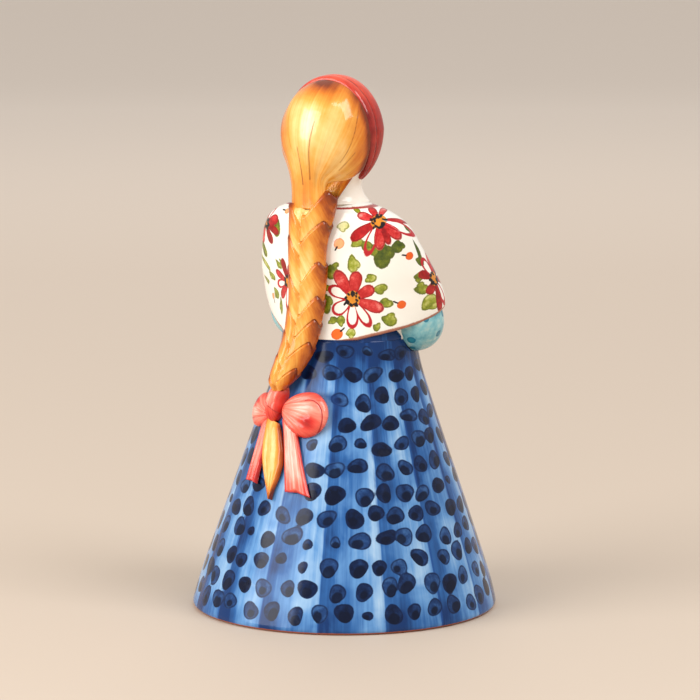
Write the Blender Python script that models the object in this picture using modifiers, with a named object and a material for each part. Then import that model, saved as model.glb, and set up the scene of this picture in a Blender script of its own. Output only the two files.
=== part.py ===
"""A hand-painted ceramic bell in the shape of a standing woman with a long plait.

The bell's mouth is her skirt, and a ceramic ball hangs inside it on a wire. Her front faces -Y, and her
right hand is on the -X side. The origin is the centre of the mouth, on the surface that the bell stands on.

The clay pieces are shaped apart, joined with slip and fired together. Each is a solid of its own here, with
a narrow gap along the slip joint. The wire pieces, the washer and the ball are loose, and hang from the
waist's ceiling. All sizes below are in millimetres.
"""

import math

import bmesh
import bpy
from mathutils import Matrix, Vector

MM = 0.001
JOINT_GAP = 0.3  # between two pieces that slip joins
TURNS = 48  # sides of a turned piece

# Skirt
SKIRT_TOP = 66.2
SKIRT_WALL = 3.2
MOUTH_RADIUS = 37.8  # of the straight cone, where it meets the ground
CONE_SLOPE = 0.35
RIM_TUCK, RIM_TUCK_HEIGHT = 0.9, 4.5  # the cone turns in a little above the rim
WAIST_START, WAIST_FLARE = 54.0, 1.45
RIM_ROUND = 1.1
LEAN = 0.034  # the axis leans to the front by this share of the height

# Ceiling under the waist
CEILING_LOW, CEILING_HIGH = 58.2, 61.4
PIN_HOLE_RADIUS = 1.35

# Torso
TORSO_HIGH = 99.0
TORSO_WALL = 3.0
TORSO_SIDES = 40
HULL_POWER = 14  # how closely the shawl follows the chest and arms under it

# Head
HEAD_CENTRE = Vector((0, 5.3, 114.3))
HEAD_HALF = Vector((10.4, 11.4, 12.3))
HEAD_WALL = 2.5
HEAD_SIDES = 28
HEAD_TOP = HEAD_CENTRE.z + HEAD_HALF.z
NECK_LOW = TORSO_HIGH + JOINT_GAP
HEAD_OUTER = (NECK_LOW, 101.5, 103.2, 105.5, 109, 113, 117, 120.5, 123.5, 125.5, HEAD_TOP - 0.15)
HEAD_INNER = (NECK_LOW, 101.5, 103.2, 106, 111, 116, 121, HEAD_TOP - HEAD_WALL - 0.3)
NECK_RADIUS = 6.1
NECK_Y = 3.6
NECK_LEAN_HEIGHT = 9  # over which the neck's centre moves back under the head
NECK_POWER = 6  # how closely the outline follows the wider one of head and neck
HAIR_HALF = Vector((12.1, 13.2, 13.7))
HAIR_FRONT = 8.3  # the hair starts behind this Y
HAIRLINE_Z = 106.0  # of the hair's front corner on the neck
HAIRLINE_FACING = Vector((0, 0.66, 0.75))  # the hair's lower edge is cut square to this
BAND_HALF_WIDTH = 3.4
BAND_RISE = 0.5  # how far the band stands above the hair
BAND_Y = HAIR_FRONT - JOINT_GAP - BAND_HALF_WIDTH
BAND_SPREAD = math.radians(140)  # from the top of the head down to each end
BAND_END_WIDTH = 0.3  # share of the full width at the two ends
BAND_GAP = JOINT_GAP + 0.1  # between the band and the head
BAND_SQUARE = 0.7  # a power under 1 makes the strip's section squarer than an oval

# Bow on the skirt's back
BOW_X, BOW_Z = 6.8, 50.6
TAIL_THICK = 1.3
TAIL_LIFT = JOINT_GAP + TAIL_THICK / 2 + 0.25  # of a flat piece's middle above the skirt

# Clapper
PIVOT_Y = -0.9
PIN_WIRE = 0.45  # wire radius
PIN_EYE_RADIUS = 2.4
PIN_EYE_Z = 54.6
PIVOT = Vector((0, PIVOT_Y, PIN_EYE_Z - PIN_EYE_RADIUS))
LEG_SPACING = 0.62
LEG_SPREAD = ((2.1, 1.7), (3.5, 3.0))  # the legs' ends: side offset, and height above the ceiling
CLAPPER_WIRE = 0.5
CLAPPER_EYE_RADIUS = 2.2
EYE_PLAY = 0.3
BALL_RADIUS = 8.0
BALL_Z = 19.5
BALL_BORE = 0.95
CURL_RADIUS = 1.4
EYE_START = -150  # degrees round from the top of the clapper's eye, which ends at its foot
CURL_TURN = 300  # degrees that the curl under the ball goes round
WASHER_RADIUS, WASHER_HOLE, WASHER_THICK = 3.4, 1.35, 0.5


# ---------------------------------------------------------------- scene and materials


def clear_scene():
    for obj in list(bpy.data.objects):
        bpy.data.objects.remove(obj)


def collection(name):
    made = bpy.data.collections.new(name)
    bpy.context.scene.collection.children.link(made)
    return made


def material(name, colour, roughness, metallic=0.0):
    made = bpy.data.materials.new(name)
    made.use_nodes = True
    shader = made.node_tree.nodes["Principled BSDF"]
    shader.inputs["Base Color"].default_value = (*colour, 1.0)
    shader.inputs["Roughness"].default_value = roughness
    shader.inputs["Metallic"].default_value = metallic
    return made


clear_scene()
BELL = collection("porcelain_bell")
CUTTERS = collection("cutters")

GLAZE = 0.12
BLUE = material("skirt_blue", (0.10, 0.25, 0.58), GLAZE)
CREAM = material("shawl_cream", (0.88, 0.86, 0.80), GLAZE)
SKIN = material("skin_glaze", (0.90, 0.80, 0.70), GLAZE)
TEAL = material("sleeve_teal", (0.35, 0.62, 0.64), GLAZE)
HAIR = material("hair_gold", (0.83, 0.47, 0.13), GLAZE)
RED = material("band_red", (0.62, 0.10, 0.07), GLAZE)
CORAL = material("ribbon_coral", (0.88, 0.25, 0.20), GLAZE)
BISQUE = material("bare_clay", (0.72, 0.56, 0.45), 0.75)
STEEL = material("steel_wire", (0.62, 0.62, 0.63), 0.3, 1.0)
BALL = material("ball_glaze", (0.90, 0.88, 0.82), GLAZE)


# ---------------------------------------------------------------- building blocks


def place(name, data, look, home=None, seat=None):
    """An object in the bell's collection, or in another home. seat is its matrix, in millimetres."""
    obj = bpy.data.objects.new(name, data)
    (home or BELL).objects.link(obj)
    if look:
        data.materials.append(look)
    if seat:
        obj.matrix_world = in_metres(seat)
    return obj


def in_metres(seat):
    made = seat.copy()
    made.translation *= MM
    return made


def add(name, mesh, look, home=None, seat=None):
    """An object for a mesh whose points are in millimetres."""
    mesh.transform(Matrix.Scale(MM, 4))
    return place(name, mesh, look, home, seat)


def as_cutter(obj):
    obj.hide_render = True
    obj.display_type = "WIRE"
    return obj


def smooth(mesh, angle=40):
    mesh.shade_smooth()
    mesh.set_sharp_from_angle(angle=math.radians(angle))


def as_mesh(obj, look):
    """The evaluated object as a welded mesh object of the same name and place, in place of the first one."""
    name, home, seat = obj.name, obj.users_collection[0], obj.matrix_world.copy()
    graph = bpy.context.evaluated_depsgraph_get()
    mesh = bpy.data.meshes.new_from_object(obj.evaluated_get(graph))
    bpy.data.objects.remove(obj)
    mesh.materials.clear()
    bm = bmesh.new()
    bm.from_mesh(mesh)
    bmesh.ops.remove_doubles(bm, verts=bm.verts, dist=0.000001)
    on_axis = [edge for edge in bm.edges if not edge.link_faces]
    bmesh.ops.delete(bm, geom=on_axis, context="EDGES")
    bmesh.ops.recalc_face_normals(bm, faces=bm.faces)
    bm.to_mesh(mesh)
    bm.free()
    smooth(mesh)
    made = place(name, mesh, look, home)
    made.matrix_world = seat
    return made


def turned(name, profile, look, home=None, steps=TURNS, seat=None):
    """A closed profile of (radius, height), run down its outer side, turned about Z."""
    mesh = bpy.data.meshes.new(name)
    points = [(r * MM, 0, z * MM) for r, z in profile]
    count = len(points)
    mesh.from_pydata(points, [(i, (i + 1) % count) for i in range(count)], [])
    obj = place(name, mesh, None, home, seat)
    screw = obj.modifiers.new("turn", "SCREW")
    screw.steps = screw.render_steps = steps
    screw.use_merge_vertices = True
    screw.merge_threshold = 0.00001
    return as_mesh(obj, look)


def leaned(obj):
    """Leans a turned piece to the front with height."""
    obj.data.transform(Matrix(((1, 0, 0, 0), (0, 1, -LEAN, 0), (0, 0, 1, 0), (0, 0, 0, 1))))
    return obj


def tube(name, points, radii, look, seat=None, resolution=2):
    """A round wire or limb along points, in millimetres, with filled ends."""
    curve = bpy.data.curves.new(name, "CURVE")
    curve.dimensions = "3D"
    curve.bevel_depth = MM
    curve.bevel_resolution = resolution
    curve.use_fill_caps = True
    spline = curve.splines.new("POLY")
    spline.points.add(len(points) - 1)
    for knot, point, radius in zip(spline.points, points, radii):
        knot.co = (*(Vector(point) * MM), 1)
        knot.radius = radius
    return place(name, curve, look, seat=seat)


def loft(name, rings, look, home=None, looped=False):
    """A closed solid through rings of the same number of points. looped joins the last ring to the first."""
    mesh = bpy.data.meshes.new(name)
    bm = bmesh.new()
    rows = [[bm.verts.new(point) for point in ring] for ring in rings]
    for low, high in zip(rows, rows[1:] + rows[:1] if looped else rows[1:]):
        for i in range(len(low)):
            j = (i + 1) % len(low)
            bm.faces.new((low[i], low[j], high[j], high[i]))
    if not looped:
        bm.faces.new(rows[0][::-1])
        bm.faces.new(rows[-1])
    bmesh.ops.recalc_face_normals(bm, faces=bm.faces)
    bm.to_mesh(mesh)
    bm.free()
    smooth(mesh)
    return add(name, mesh, look, home)


def blob(name, half, look, seat, shape=None, sides=20, home=None):
    """A rounded lump with half sizes along its own axes. shape moves each point of the unit sphere first."""
    mesh = bpy.data.meshes.new(name)
    bm = bmesh.new()
    bmesh.ops.create_uvsphere(bm, u_segments=sides, v_segments=sides // 2, radius=1)
    for vert in bm.verts:
        point = shape(vert.co) if shape else vert.co
        vert.co = Vector(a * b for a, b in zip(point, half))
    bm.to_mesh(mesh)
    bm.free()
    smooth(mesh)
    return add(name, mesh, look, home, seat)


def flat_piece(name, outline, thick, look, seat):
    """A flat outline of (x, y) with a thickness."""
    curve = bpy.data.curves.new(name, "CURVE")
    curve.dimensions = "2D"
    curve.fill_mode = "BOTH"
    curve.extrude = thick / 2 * MM
    spline = curve.splines.new("POLY")
    spline.points.add(len(outline) - 1)
    for knot, (x, y) in zip(spline.points, outline):
        knot.co = (x * MM, y * MM, 0, 1)
    spline.use_cyclic_u = True
    return as_mesh(place(name, curve, None, seat=seat), look)


def cut(obj, *cutters):
    """Takes the cutters away from the object."""
    for cutter in cutters:
        step = obj.modifiers.new("clear_" + cutter.name, "BOOLEAN")
        step.operation = "DIFFERENCE"
        step.solver = "EXACT"
        step.object = cutter
    return obj


def room_for(obj, name):
    """A cutter that is the object with the joint gap all round it."""
    mesh = obj.data.copy()
    for vert in mesh.vertices:
        vert.co += vert.normal * (JOINT_GAP * MM)
    made = as_cutter(place(name, mesh, None, CUTTERS))
    made.matrix_world = obj.matrix_world
    return made


# ---------------------------------------------------------------- shapes by formula


def skirt_radius(z):
    """Outer radius of the skirt at a height."""
    flare = WAIST_FLARE * (max(0.0, z - WAIST_START) / (SKIRT_TOP - WAIST_START)) ** 2
    return MOUTH_RADIUS - CONE_SLOPE * z - RIM_TUCK * math.exp(-z / RIM_TUCK_HEIGHT) + flare


def lean_y(z):
    """The skirt's centre at a height."""
    return -LEAN * z


def between(stations, z):
    """Values at height z on straight lines between stations of (height, values...)."""
    for low, high in zip(stations, stations[1:]):
        if z <= high[0]:
            share = (z - low[0]) / (high[0] - low[0])
            return tuple(a + (b - a) * share for a, b in zip(low[1:], high[1:]))
    return stations[-1][1:]


# Height, half width, half depth and centre Y of the chest under the shawl.
CHEST = (
    (66.5, 15.4, 14.6, -0.4),
    (72, 15.0, 13.6, 0.0),
    (80, 15.0, 12.8, 0.3),
    (88, 14.5, 11.8, 0.9),
    (93, 12.5, 10.0, 2.0),
    (96.5, 9.0, 8.0, 3.2),
    (99, 6.8, 6.6, 3.6),
)
# Height, side offset, Y and radius of the shawl over each arm.
ARM = (
    (66.5, 8.0, -1.0, 5.0),
    (70, 11.0, -2.5, 5.0),
    (73.5, 16.2, -5.4, 6.0),
    (77, 17.4, -4.3, 6.6),
    (81.3, 16.8, -2.0, 6.6),
    (85.2, 15.6, -0.1, 6.6),
    (88.9, 14.4, 1.6, 6.5),
    (92.6, 13.3, 2.9, 6.0),
    (95.3, 12.2, 4.0, 4.8),
    (97.3, 9.6, 4.5, 3.6),
    (99, 4.0, 4.2, 3.0),
)
TORSO_OUTER = (66.5, 70, 73.5, 77, 81.3, 85.2, 88.9, 92.6, 95.3, 97.3, 99)
TORSO_INNER = (66.5, 73.5, 81.3, 88.9, 93.5, 96.5, 99)


def torso_ring(z, grow=0.0, sides=TORSO_SIDES):
    """The outline at a height: the chest and both arms under one tight cloth, found from their support widths."""
    half_x, half_y, chest_y = between(CHEST, z)
    arm_x, arm_y, arm_r = between(ARM, z)

    def reach(turn):
        c, s = math.cos(turn), math.sin(turn)
        chest = math.hypot((half_x + grow) * c, (half_y + grow) * s) + chest_y * s
        arms = [max(0.0, side * arm_x * c + arm_y * s + arm_r + grow) for side in (-1, 1)]
        return sum(width**HULL_POWER for width in (chest, *arms)) ** (1 / HULL_POWER)

    fine = 720
    step = 2 * math.pi / fine
    outline = []
    for i in range(fine):
        turn = math.pi / 2 + i * step
        width = reach(turn)
        slope = (reach(turn + step / 2) - reach(turn - step / 2)) / step
        x = width * math.cos(turn) - slope * math.sin(turn)
        y = width * math.sin(turn) + slope * math.cos(turn)
        outline.append(Vector((x, y, z)))
    return even_loop(outline, sides)


def even_loop(points, count):
    """count points at equal steps along a closed outline."""
    ends = points[1:] + points[:1]
    lengths = [(b - a).length for a, b in zip(points, ends)]
    total = sum(lengths)
    made, i, passed = [], 0, 0.0
    for k in range(count):
        target = total * k / count
        while passed + lengths[i] < target:
            passed += lengths[i]
            i += 1
        made.append(points[i].lerp(ends[i], (target - passed) / lengths[i]))
    return made


def head_ring(z, half, neck, grow=0.0, sides=HEAD_SIDES):
    """The outline of head and neck together at a height. Up the neck its centre moves back under the head."""
    up = max(0.0, 1 - ((z - HEAD_CENTRE.z) / (half.z + grow)) ** 2) ** 0.5
    neck_part = (neck + grow) ** NECK_POWER if z < HEAD_CENTRE.z else 0.0
    half_x, half_y = (
        (((axis + grow) * up) ** NECK_POWER + neck_part) ** (1 / NECK_POWER) for axis in (half.x, half.y)
    )
    risen = min(1.0, max(0.0, (z - NECK_LOW) / NECK_LEAN_HEIGHT))
    centre_y = NECK_Y + (HEAD_CENTRE.y - NECK_Y) * risen
    ring = []
    for i in range(sides):
        turn = 2 * math.pi * i / sides
        ring.append(Vector((half_x * math.cos(turn), centre_y + half_y * math.sin(turn), z)))
    return ring


def skirt_seat(x, z, lift, turn_deg=0.0, flip=False):
    """A matrix on the skirt's back at a side offset and height: own Z out of the skirt, own Y up it.

    Own X runs to her right, or to her left with flip, which turns the seat half round.
    """
    turn = math.asin(x / skirt_radius(z))
    out = Vector((math.sin(turn), math.cos(turn), CONE_SLOPE)).normalized()
    spot = Vector((x, lean_y(z) + skirt_radius(z) * math.cos(turn), z)) + out * lift
    across = Vector((0, 0, 1)).cross(out).normalized()
    frame = Matrix((across, out.cross(across), out)).transposed().to_4x4()
    spin = math.radians(turn_deg + 180 * flip)
    return Matrix.Translation(spot) @ frame @ Matrix.Rotation(spin, 4, "Z")


# ---------------------------------------------------------------- clay pieces


def make_skirt():
    """The bell itself: a hollow cone, open below, with a rounded rim and a flat foot."""
    outer = [(skirt_radius(z), z) for z in (SKIRT_TOP, 63.5, 60, 57, 54, 40, 26, 14, 8, 4)]
    inner = [(skirt_radius(z) - SKIRT_WALL, z) for z in (4, 12, 26, 40, 54, 60, SKIRT_TOP)]
    edge = skirt_radius(RIM_ROUND)
    rim = [
        (edge, RIM_ROUND),
        (edge - 0.3 * RIM_ROUND, 0.3 * RIM_ROUND),
        (edge - RIM_ROUND, 0),
        (edge - SKIRT_WALL + 0.5, 0),
        (edge - SKIRT_WALL, 0.5),
    ]
    leaned(turned("skirt_shell", outer + rim + inner, BLUE))


def make_ceiling():
    """The clay disc across the waist that the clapper hangs from, with a hole for the split pin."""
    top = skirt_radius(CEILING_HIGH) - SKIRT_WALL - JOINT_GAP
    low = skirt_radius(CEILING_LOW) - SKIRT_WALL - JOINT_GAP
    profile = [(0, CEILING_HIGH), (top, CEILING_HIGH), (low, CEILING_LOW), (0, CEILING_LOW)]
    disc = leaned(turned("waist_ceiling", profile, BISQUE))
    mesh = bpy.data.meshes.new("pin_hole")
    bm = bmesh.new()
    depth = CEILING_HIGH - CEILING_LOW + 4
    bmesh.ops.create_cone(
        bm, cap_ends=True, segments=20, radius1=PIN_HOLE_RADIUS, radius2=PIN_HOLE_RADIUS, depth=depth
    )
    bm.to_mesh(mesh)
    bm.free()
    seat = Matrix.Translation((0, PIVOT_Y, (CEILING_HIGH + CEILING_LOW) / 2))
    cut(disc, as_cutter(add("pin_hole", mesh, None, CUTTERS, seat)))


def make_torso():
    """The shawl over chest and upper arms, hollow, open at the waist and at the neck."""
    outer = [torso_ring(z) for z in TORSO_OUTER]
    inner = [torso_ring(z, grow=-TORSO_WALL) for z in reversed(TORSO_INNER)]
    loft("shawl_torso", outer + inner, CREAM, looped=True)


def make_head():
    """Head and neck, hollow, open at the neck's foot."""
    inner_half = HEAD_HALF - Vector((1, 1, 1)) * HEAD_WALL
    outer = [head_ring(z, HEAD_HALF, NECK_RADIUS) for z in HEAD_OUTER]
    inner = [head_ring(z, inner_half, NECK_RADIUS - HEAD_WALL) for z in reversed(HEAD_INNER)]
    loft("head", inner + outer, SKIN)


def make_hair():
    """The combed hair over the back of the head, a shell cut off behind the headband and along the neck."""
    mesh = bpy.data.meshes.new("hair_cap")
    bm = bmesh.new()
    bmesh.ops.create_uvsphere(bm, u_segments=28, v_segments=16, radius=1)
    for vert in bm.verts:
        vert.co = HEAD_CENTRE + Vector(a * b for a, b in zip(vert.co, HAIR_HALF))
    planes = [
        (Vector((0, HAIR_FRONT, 0)), Vector((0, 1, 0))),
        (Vector((0, HAIR_FRONT, HAIRLINE_Z)), HAIRLINE_FACING),
    ]
    for point, keep in planes:
        parts = bm.verts[:] + bm.edges[:] + bm.faces[:]
        bmesh.ops.bisect_plane(bm, geom=parts, plane_co=point, plane_no=keep, clear_inner=True, dist=0.0001)
    bm.to_mesh(mesh)
    bm.free()
    obj = add("hair_cap", mesh, HAIR)
    shell = obj.modifiers.new("shell", "SOLIDIFY")
    shell.thickness = (HAIR_HALF.x - HEAD_HALF.x - JOINT_GAP) * MM
    shell.offset = -1
    smooth(obj.data)


def make_headband(cutters):
    """The red band from jaw to jaw over the head, a rounded strip that narrows to its two ends."""
    rings = []
    steps, corners = 26, 10
    for k in range(steps + 1):
        turn = -BAND_SPREAD + 2 * BAND_SPREAD * k / steps
        taper = min(1.0, BAND_END_WIDTH + 1.6 * (1 - abs(turn) / BAND_SPREAD))
        out = Vector((math.sin(turn), 0, math.cos(turn)))
        inner = Vector((out.x * HEAD_HALF.x, 0, out.z * HEAD_HALF.z)) + out * BAND_GAP
        thick = (HAIR_HALF.x + BAND_RISE - HEAD_HALF.x - BAND_GAP) * (0.5 + 0.5 * taper)
        ring = []
        for corner in range(corners):
            c, s = (f(2 * math.pi * corner / corners) for f in (math.cos, math.sin))
            across = BAND_HALF_WIDTH * taper * math.copysign(abs(c) ** BAND_SQUARE, c)
            up = thick * (0.5 + 0.5 * math.copysign(abs(s) ** BAND_SQUARE, s))
            ring.append(Vector((0, BAND_Y + across, HEAD_CENTRE.z)) + inner + out * up)
        rings.append(ring)
    cut(loft("headband", rings, RED), *cutters)


# The middle line of the plait, from the nape to the bow: X, Y and Z, then half width and half thickness.
PLAIT = (
    (0.3, 13.2, 104.2, 5.4, 3.6),
    (0.4, 12.8, 100.5, 5.5, 3.8),
    (0.5, 13.4, 96.0, 5.1, 3.7),
    (0.7, 14.0, 90.0, 4.6, 3.5),
    (0.9, 14.4, 84.0, 4.4, 3.4),
    (1.2, 14.8, 78.0, 4.1, 3.3),
    (1.8, 15.3, 72.0, 4.0, 3.1),
    (2.8, 16.2, 66.0, 3.8, 3.0),
    (4.4, 17.6, 60.5, 3.5, 2.8),
    (5.8, 19.0, 56.8, 3.0, 2.5),
)
PLAIT_LOBES = 14  # left and right in turn
PLAIT_SWING = 0.4  # how far each lobe pushes the plait's middle aside
PLAIT_SWELL = 0.05  # how much wider the plait is across a lobe


def plait_station(share):
    """The plait's middle, half width and half thickness at a share of its length, with its lobes' swing."""
    place_on = share * (len(PLAIT) - 1)
    i = min(int(place_on), len(PLAIT) - 2)
    mixed = [a + (b - a) * (place_on - i) for a, b in zip(PLAIT[i], PLAIT[i + 1])]
    x, y, z, half_width, half_thick = mixed
    swing = math.sin(math.pi * PLAIT_LOBES * share)
    return Vector((x + PLAIT_SWING * swing, y, z)), half_width * (1 + PLAIT_SWELL * abs(swing)), half_thick


def make_plait(cutters):
    rings = []
    count, corners = 32, 12
    nearby = 0.02  # share of the length over which the plait's direction is taken
    for k in range(count + 1):
        share = k / count
        centre, half_width, half_thick = plait_station(share)
        ahead = plait_station(min(1.0, share + nearby))[0] - plait_station(max(0.0, share - nearby))[0]
        out = Vector((1, 0, 0)).cross(Vector((0, ahead.y, ahead.z)).normalized())
        ring = []
        for corner in range(corners):
            turn = 2 * math.pi * corner / corners
            across = Vector((half_width * math.cos(turn), 0, 0))
            ring.append(centre + across + out * (half_thick * math.sin(turn)))
        rings.append(ring)
    cut(loft("braid", rings, HAIR), *cutters)


def make_bow(cutters):
    """The knot and its two loops, lumps of clay pressed on to the skirt. Returns the room that they need."""

    def loop_shape(point):
        """Narrower towards the knot, which is on the side of -X."""
        pinch = 0.62 + 0.38 * min(1.0, (1 + point.x) / 1.2)
        return Vector((point.x, point.y * pinch, point.z))

    knot = blob("bow_knot", (2.6, 4.2, 3.0), CORAL, skirt_seat(BOW_X, BOW_Z, 1.0))
    knot_room = room_for(knot, "knot_room")
    cut(knot, *cutters)
    rooms = [knot_room]
    # Name, X, height over the knot, turn, whether it points to her left, and half sizes.
    loops = (
        ("bow_loop_right", BOW_X - 8.0, -0.8, 8, False, (5.9, 5.2, 2.4)),
        ("bow_loop_left", BOW_X + 6.2, -2.2, -6, True, (5.0, 4.4, 2.0)),
    )
    for name, x, drop, turn_deg, flip, half in loops:
        seat = skirt_seat(x, BOW_Z + drop, 0.7, turn_deg, flip)
        loop = blob(name, half, CORAL, seat, shape=loop_shape)
        rooms.append(room_for(loop, name + "_room"))
        cut(loop, *cutters, knot_room)
    return rooms


def make_tails(cutters):
    """Two ribbon ends with notched tips, and between them the loose end of the plait."""

    def ribbon(length, top, end, notch):
        return [(-top, 0), (-end, -length), (0, -length + notch), (end, -length), (top, 0)]

    # From its top, which the bow hides, down one side to the tip and up the other.
    lock = [(-1.5, 0), (-2.0, -7), (-1.5, -12), (0, -17.6), (1.5, -12), (2.0, -7), (1.5, 0)]
    start_z = BOW_Z - 4.6
    # Name, outline, look, X of the top and turn.
    pieces = (
        ("ribbon_tail_right", ribbon(16.0, 1.9, 2.9, 1.6), CORAL, 1.9, 18),
        ("ribbon_tail_left", ribbon(13.5, 1.7, 1.9, 1.3), CORAL, 10.4, 6),
        ("braid_tail", lock, HAIR, 6.3, 6),
    )
    for name, outline, look, x, turn_deg in pieces:
        seat = skirt_seat(x, start_z, TAIL_LIFT, turn_deg)
        cut(flat_piece(name, outline, TAIL_THICK, look, seat), *cutters)


# From inside the shawl, round the elbow to the wrist: side offset, Y, Z and radius.
SLEEVE = (
    (16.4, -4.2, 75.5, 5.0),
    (17.5, -5.8, 72.6, 5.8),
    (17.3, -7.8, 70.0, 5.9),
    (15.4, -10.6, 68.7, 5.6),
    (12.8, -13.0, 68.3, 5.3),
    (10.2, -15.2, 68.5, 5.0),
    (7.6, -16.8, 68.8, 4.8),
)
HAND_CENTRE = Vector((3.6, -18.6, 69.0))
HAND_HALF = (3.6, 2.8, 3.0)
HAND_TURN = 28


def make_arms(cutters):
    """A sleeve round each elbow, with a hand in front of the waist."""
    for side, word in ((-1, "right"), (1, "left")):
        line = [(side * x, y, z) for x, y, z, radius in SLEEVE]
        sleeve = tube(f"{word}_sleeve", line, [row[3] for row in SLEEVE], None, resolution=4)
        sleeve = as_mesh(sleeve, TEAL)
        cuff_room = room_for(sleeve, f"{word}_cuff_room")
        cut(sleeve, *cutters)
        centre = Vector((side * HAND_CENTRE.x, HAND_CENTRE.y, HAND_CENTRE.z))
        seat = Matrix.Translation(centre) @ Matrix.Rotation(math.radians(side * HAND_TURN), 4, "Z")
        cut(blob(f"{word}_hand", HAND_HALF, SKIN, seat), *cutters, cuff_room)


# ---------------------------------------------------------------- clapper


def make_pin():
    """The split pin: an eye, and two legs that go up through the ceiling and spread above it."""
    opening = math.asin(LEG_SPACING / PIN_EYE_RADIUS)
    steps = 20
    path = []
    for k in range(steps + 1):
        turn = opening + (2 * math.pi - 2 * opening) * k / steps
        path.append((PIN_EYE_RADIUS * math.sin(turn), PIN_EYE_Z + PIN_EYE_RADIUS * math.cos(turn)))
    leg = [(LEG_SPACING, CEILING_HIGH), (LEG_SPACING + 0.15, CEILING_HIGH + 0.7)]
    leg += [(across, CEILING_HIGH + up) for across, up in LEG_SPREAD]
    path = leg[::-1] + path + [(-x, z) for x, z in leg]
    points = [(x, 0, z - PIVOT.z) for x, z in path]
    tube("split_pin", points, [PIN_WIRE] * len(points), STEEL, seat=Matrix.Translation(PIVOT))


def make_washer():
    """A washer between the ceiling and the split pin's eye."""
    high = CEILING_LOW - JOINT_GAP
    low = high - WASHER_THICK
    profile = [(WASHER_HOLE, high), (WASHER_RADIUS, high), (WASHER_RADIUS, low), (WASHER_HOLE, low)]
    seat = Matrix.Translation((0, PIVOT_Y, 0))
    turned("pin_washer", profile, STEEL, steps=24, seat=seat)


def make_clapper():
    """The wire with an eye at its top and a curl at its foot, and the ball that it carries."""
    eye_z = PIN_WIRE + EYE_PLAY + CLAPPER_WIRE - CLAPPER_EYE_RADIUS
    path = []
    steps = 20
    for k in range(steps + 1):
        turn = math.radians(EYE_START + (180 - EYE_START) * k / steps)
        path.append((-CLAPPER_EYE_RADIUS * math.sin(turn), eye_z + CLAPPER_EYE_RADIUS * math.cos(turn)))
    path.append((0, eye_z - CLAPPER_EYE_RADIUS - 2))
    ball_z = BALL_Z - PIVOT.z
    curl_z = ball_z - BALL_RADIUS - 0.4 - CLAPPER_WIRE - CURL_RADIUS
    steps = 13
    for k in range(steps + 1):
        turn = math.radians(CURL_TURN * k / steps)
        path.append((CURL_RADIUS * math.sin(turn), curl_z + CURL_RADIUS * math.cos(turn)))
    points = [(0, y, z) for y, z in path]
    tube("clapper_wire", points, [CLAPPER_WIRE] * len(points), STEEL, seat=Matrix.Translation(PIVOT))

    opening = math.asin(BALL_BORE / BALL_RADIUS)
    profile = []
    steps = 12
    for k in range(steps + 1):
        turn = opening + (math.pi - 2 * opening) * k / steps
        profile.append((BALL_RADIUS * math.sin(turn), ball_z + BALL_RADIUS * math.cos(turn)))
    turned("clapper_ball", profile, BALL, steps=24, seat=Matrix.Translation(PIVOT))


# ---------------------------------------------------------------- assembly


def skirt_room():
    """Everything inside the skirt's outer face, and the joint gap round it."""
    heights = [SKIRT_TOP + JOINT_GAP / 2, 63.5, 60, 57, 54, 40, 26, 14]
    sides = [(skirt_radius(z) + JOINT_GAP, z) for z in heights]
    profile = [(0, heights[0])] + sides + [(0, heights[-1])]
    return as_cutter(leaned(turned("skirt_room", profile, None, CUTTERS)))


def torso_room():
    """The torso without its hollow, and the joint gap round it."""
    rings = [torso_ring(z, grow=JOINT_GAP + 0.05, sides=2 * TORSO_SIDES) for z in TORSO_OUTER]
    return as_cutter(loft("torso_room", rings, None, CUTTERS))


def head_room():
    """The head and neck without their hollow, and the joint gap round them."""
    rings = [head_ring(z, HEAD_HALF, NECK_RADIUS, JOINT_GAP) for z in (TORSO_HIGH - 1, *HEAD_OUTER[1:])]
    return as_cutter(loft("head_room", rings, None, CUTTERS))


def hair_room():
    """The whole egg that the hair is a part of, and the joint gap round it."""
    half = HAIR_HALF + Vector((1, 1, 1)) * (JOINT_GAP + 0.1)
    return as_cutter(blob("hair_room", half, None, Matrix.Translation(HEAD_CENTRE), sides=40, home=CUTTERS))


make_skirt()
make_ceiling()
make_torso()
make_head()
make_hair()
SKIRT_ROOM, TORSO_ROOM, HEAD_ROOM = skirt_room(), torso_room(), head_room()
make_headband([HEAD_ROOM])
make_plait([SKIRT_ROOM, TORSO_ROOM, HEAD_ROOM, hair_room()])
make_tails(make_bow([SKIRT_ROOM]))
make_arms([SKIRT_ROOM, TORSO_ROOM])
make_pin()
make_washer()
make_clapper()
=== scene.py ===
"""The looks of the porcelain bell: a majolica woman with a long plait, painted under a glossy glaze.

Shapes are made from formulas in millimetres, as grids of points, and turned into metres at the end. Paint is
laid on the grids as signed distances in millimetres, such as the distance to the edge of a petal, and the
materials turn those distances into brush strokes.
"""
import math
import random

import bmesh
import bpy
import numpy as np
from mathutils import Matrix, Vector


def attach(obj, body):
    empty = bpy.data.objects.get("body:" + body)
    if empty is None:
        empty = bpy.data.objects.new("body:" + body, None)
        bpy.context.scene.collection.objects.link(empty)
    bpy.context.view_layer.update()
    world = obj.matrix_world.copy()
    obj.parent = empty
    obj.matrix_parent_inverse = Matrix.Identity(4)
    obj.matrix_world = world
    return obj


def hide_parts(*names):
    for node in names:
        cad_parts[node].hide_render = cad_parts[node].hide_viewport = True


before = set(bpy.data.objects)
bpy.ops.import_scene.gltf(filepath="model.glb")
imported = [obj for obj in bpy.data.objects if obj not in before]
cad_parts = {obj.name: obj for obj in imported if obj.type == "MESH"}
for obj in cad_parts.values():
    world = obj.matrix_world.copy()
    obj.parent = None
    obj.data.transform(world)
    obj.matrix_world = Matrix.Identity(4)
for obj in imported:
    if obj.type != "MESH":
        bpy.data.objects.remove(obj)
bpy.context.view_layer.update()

MM = 0.001
TAU = 2 * math.pi
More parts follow.
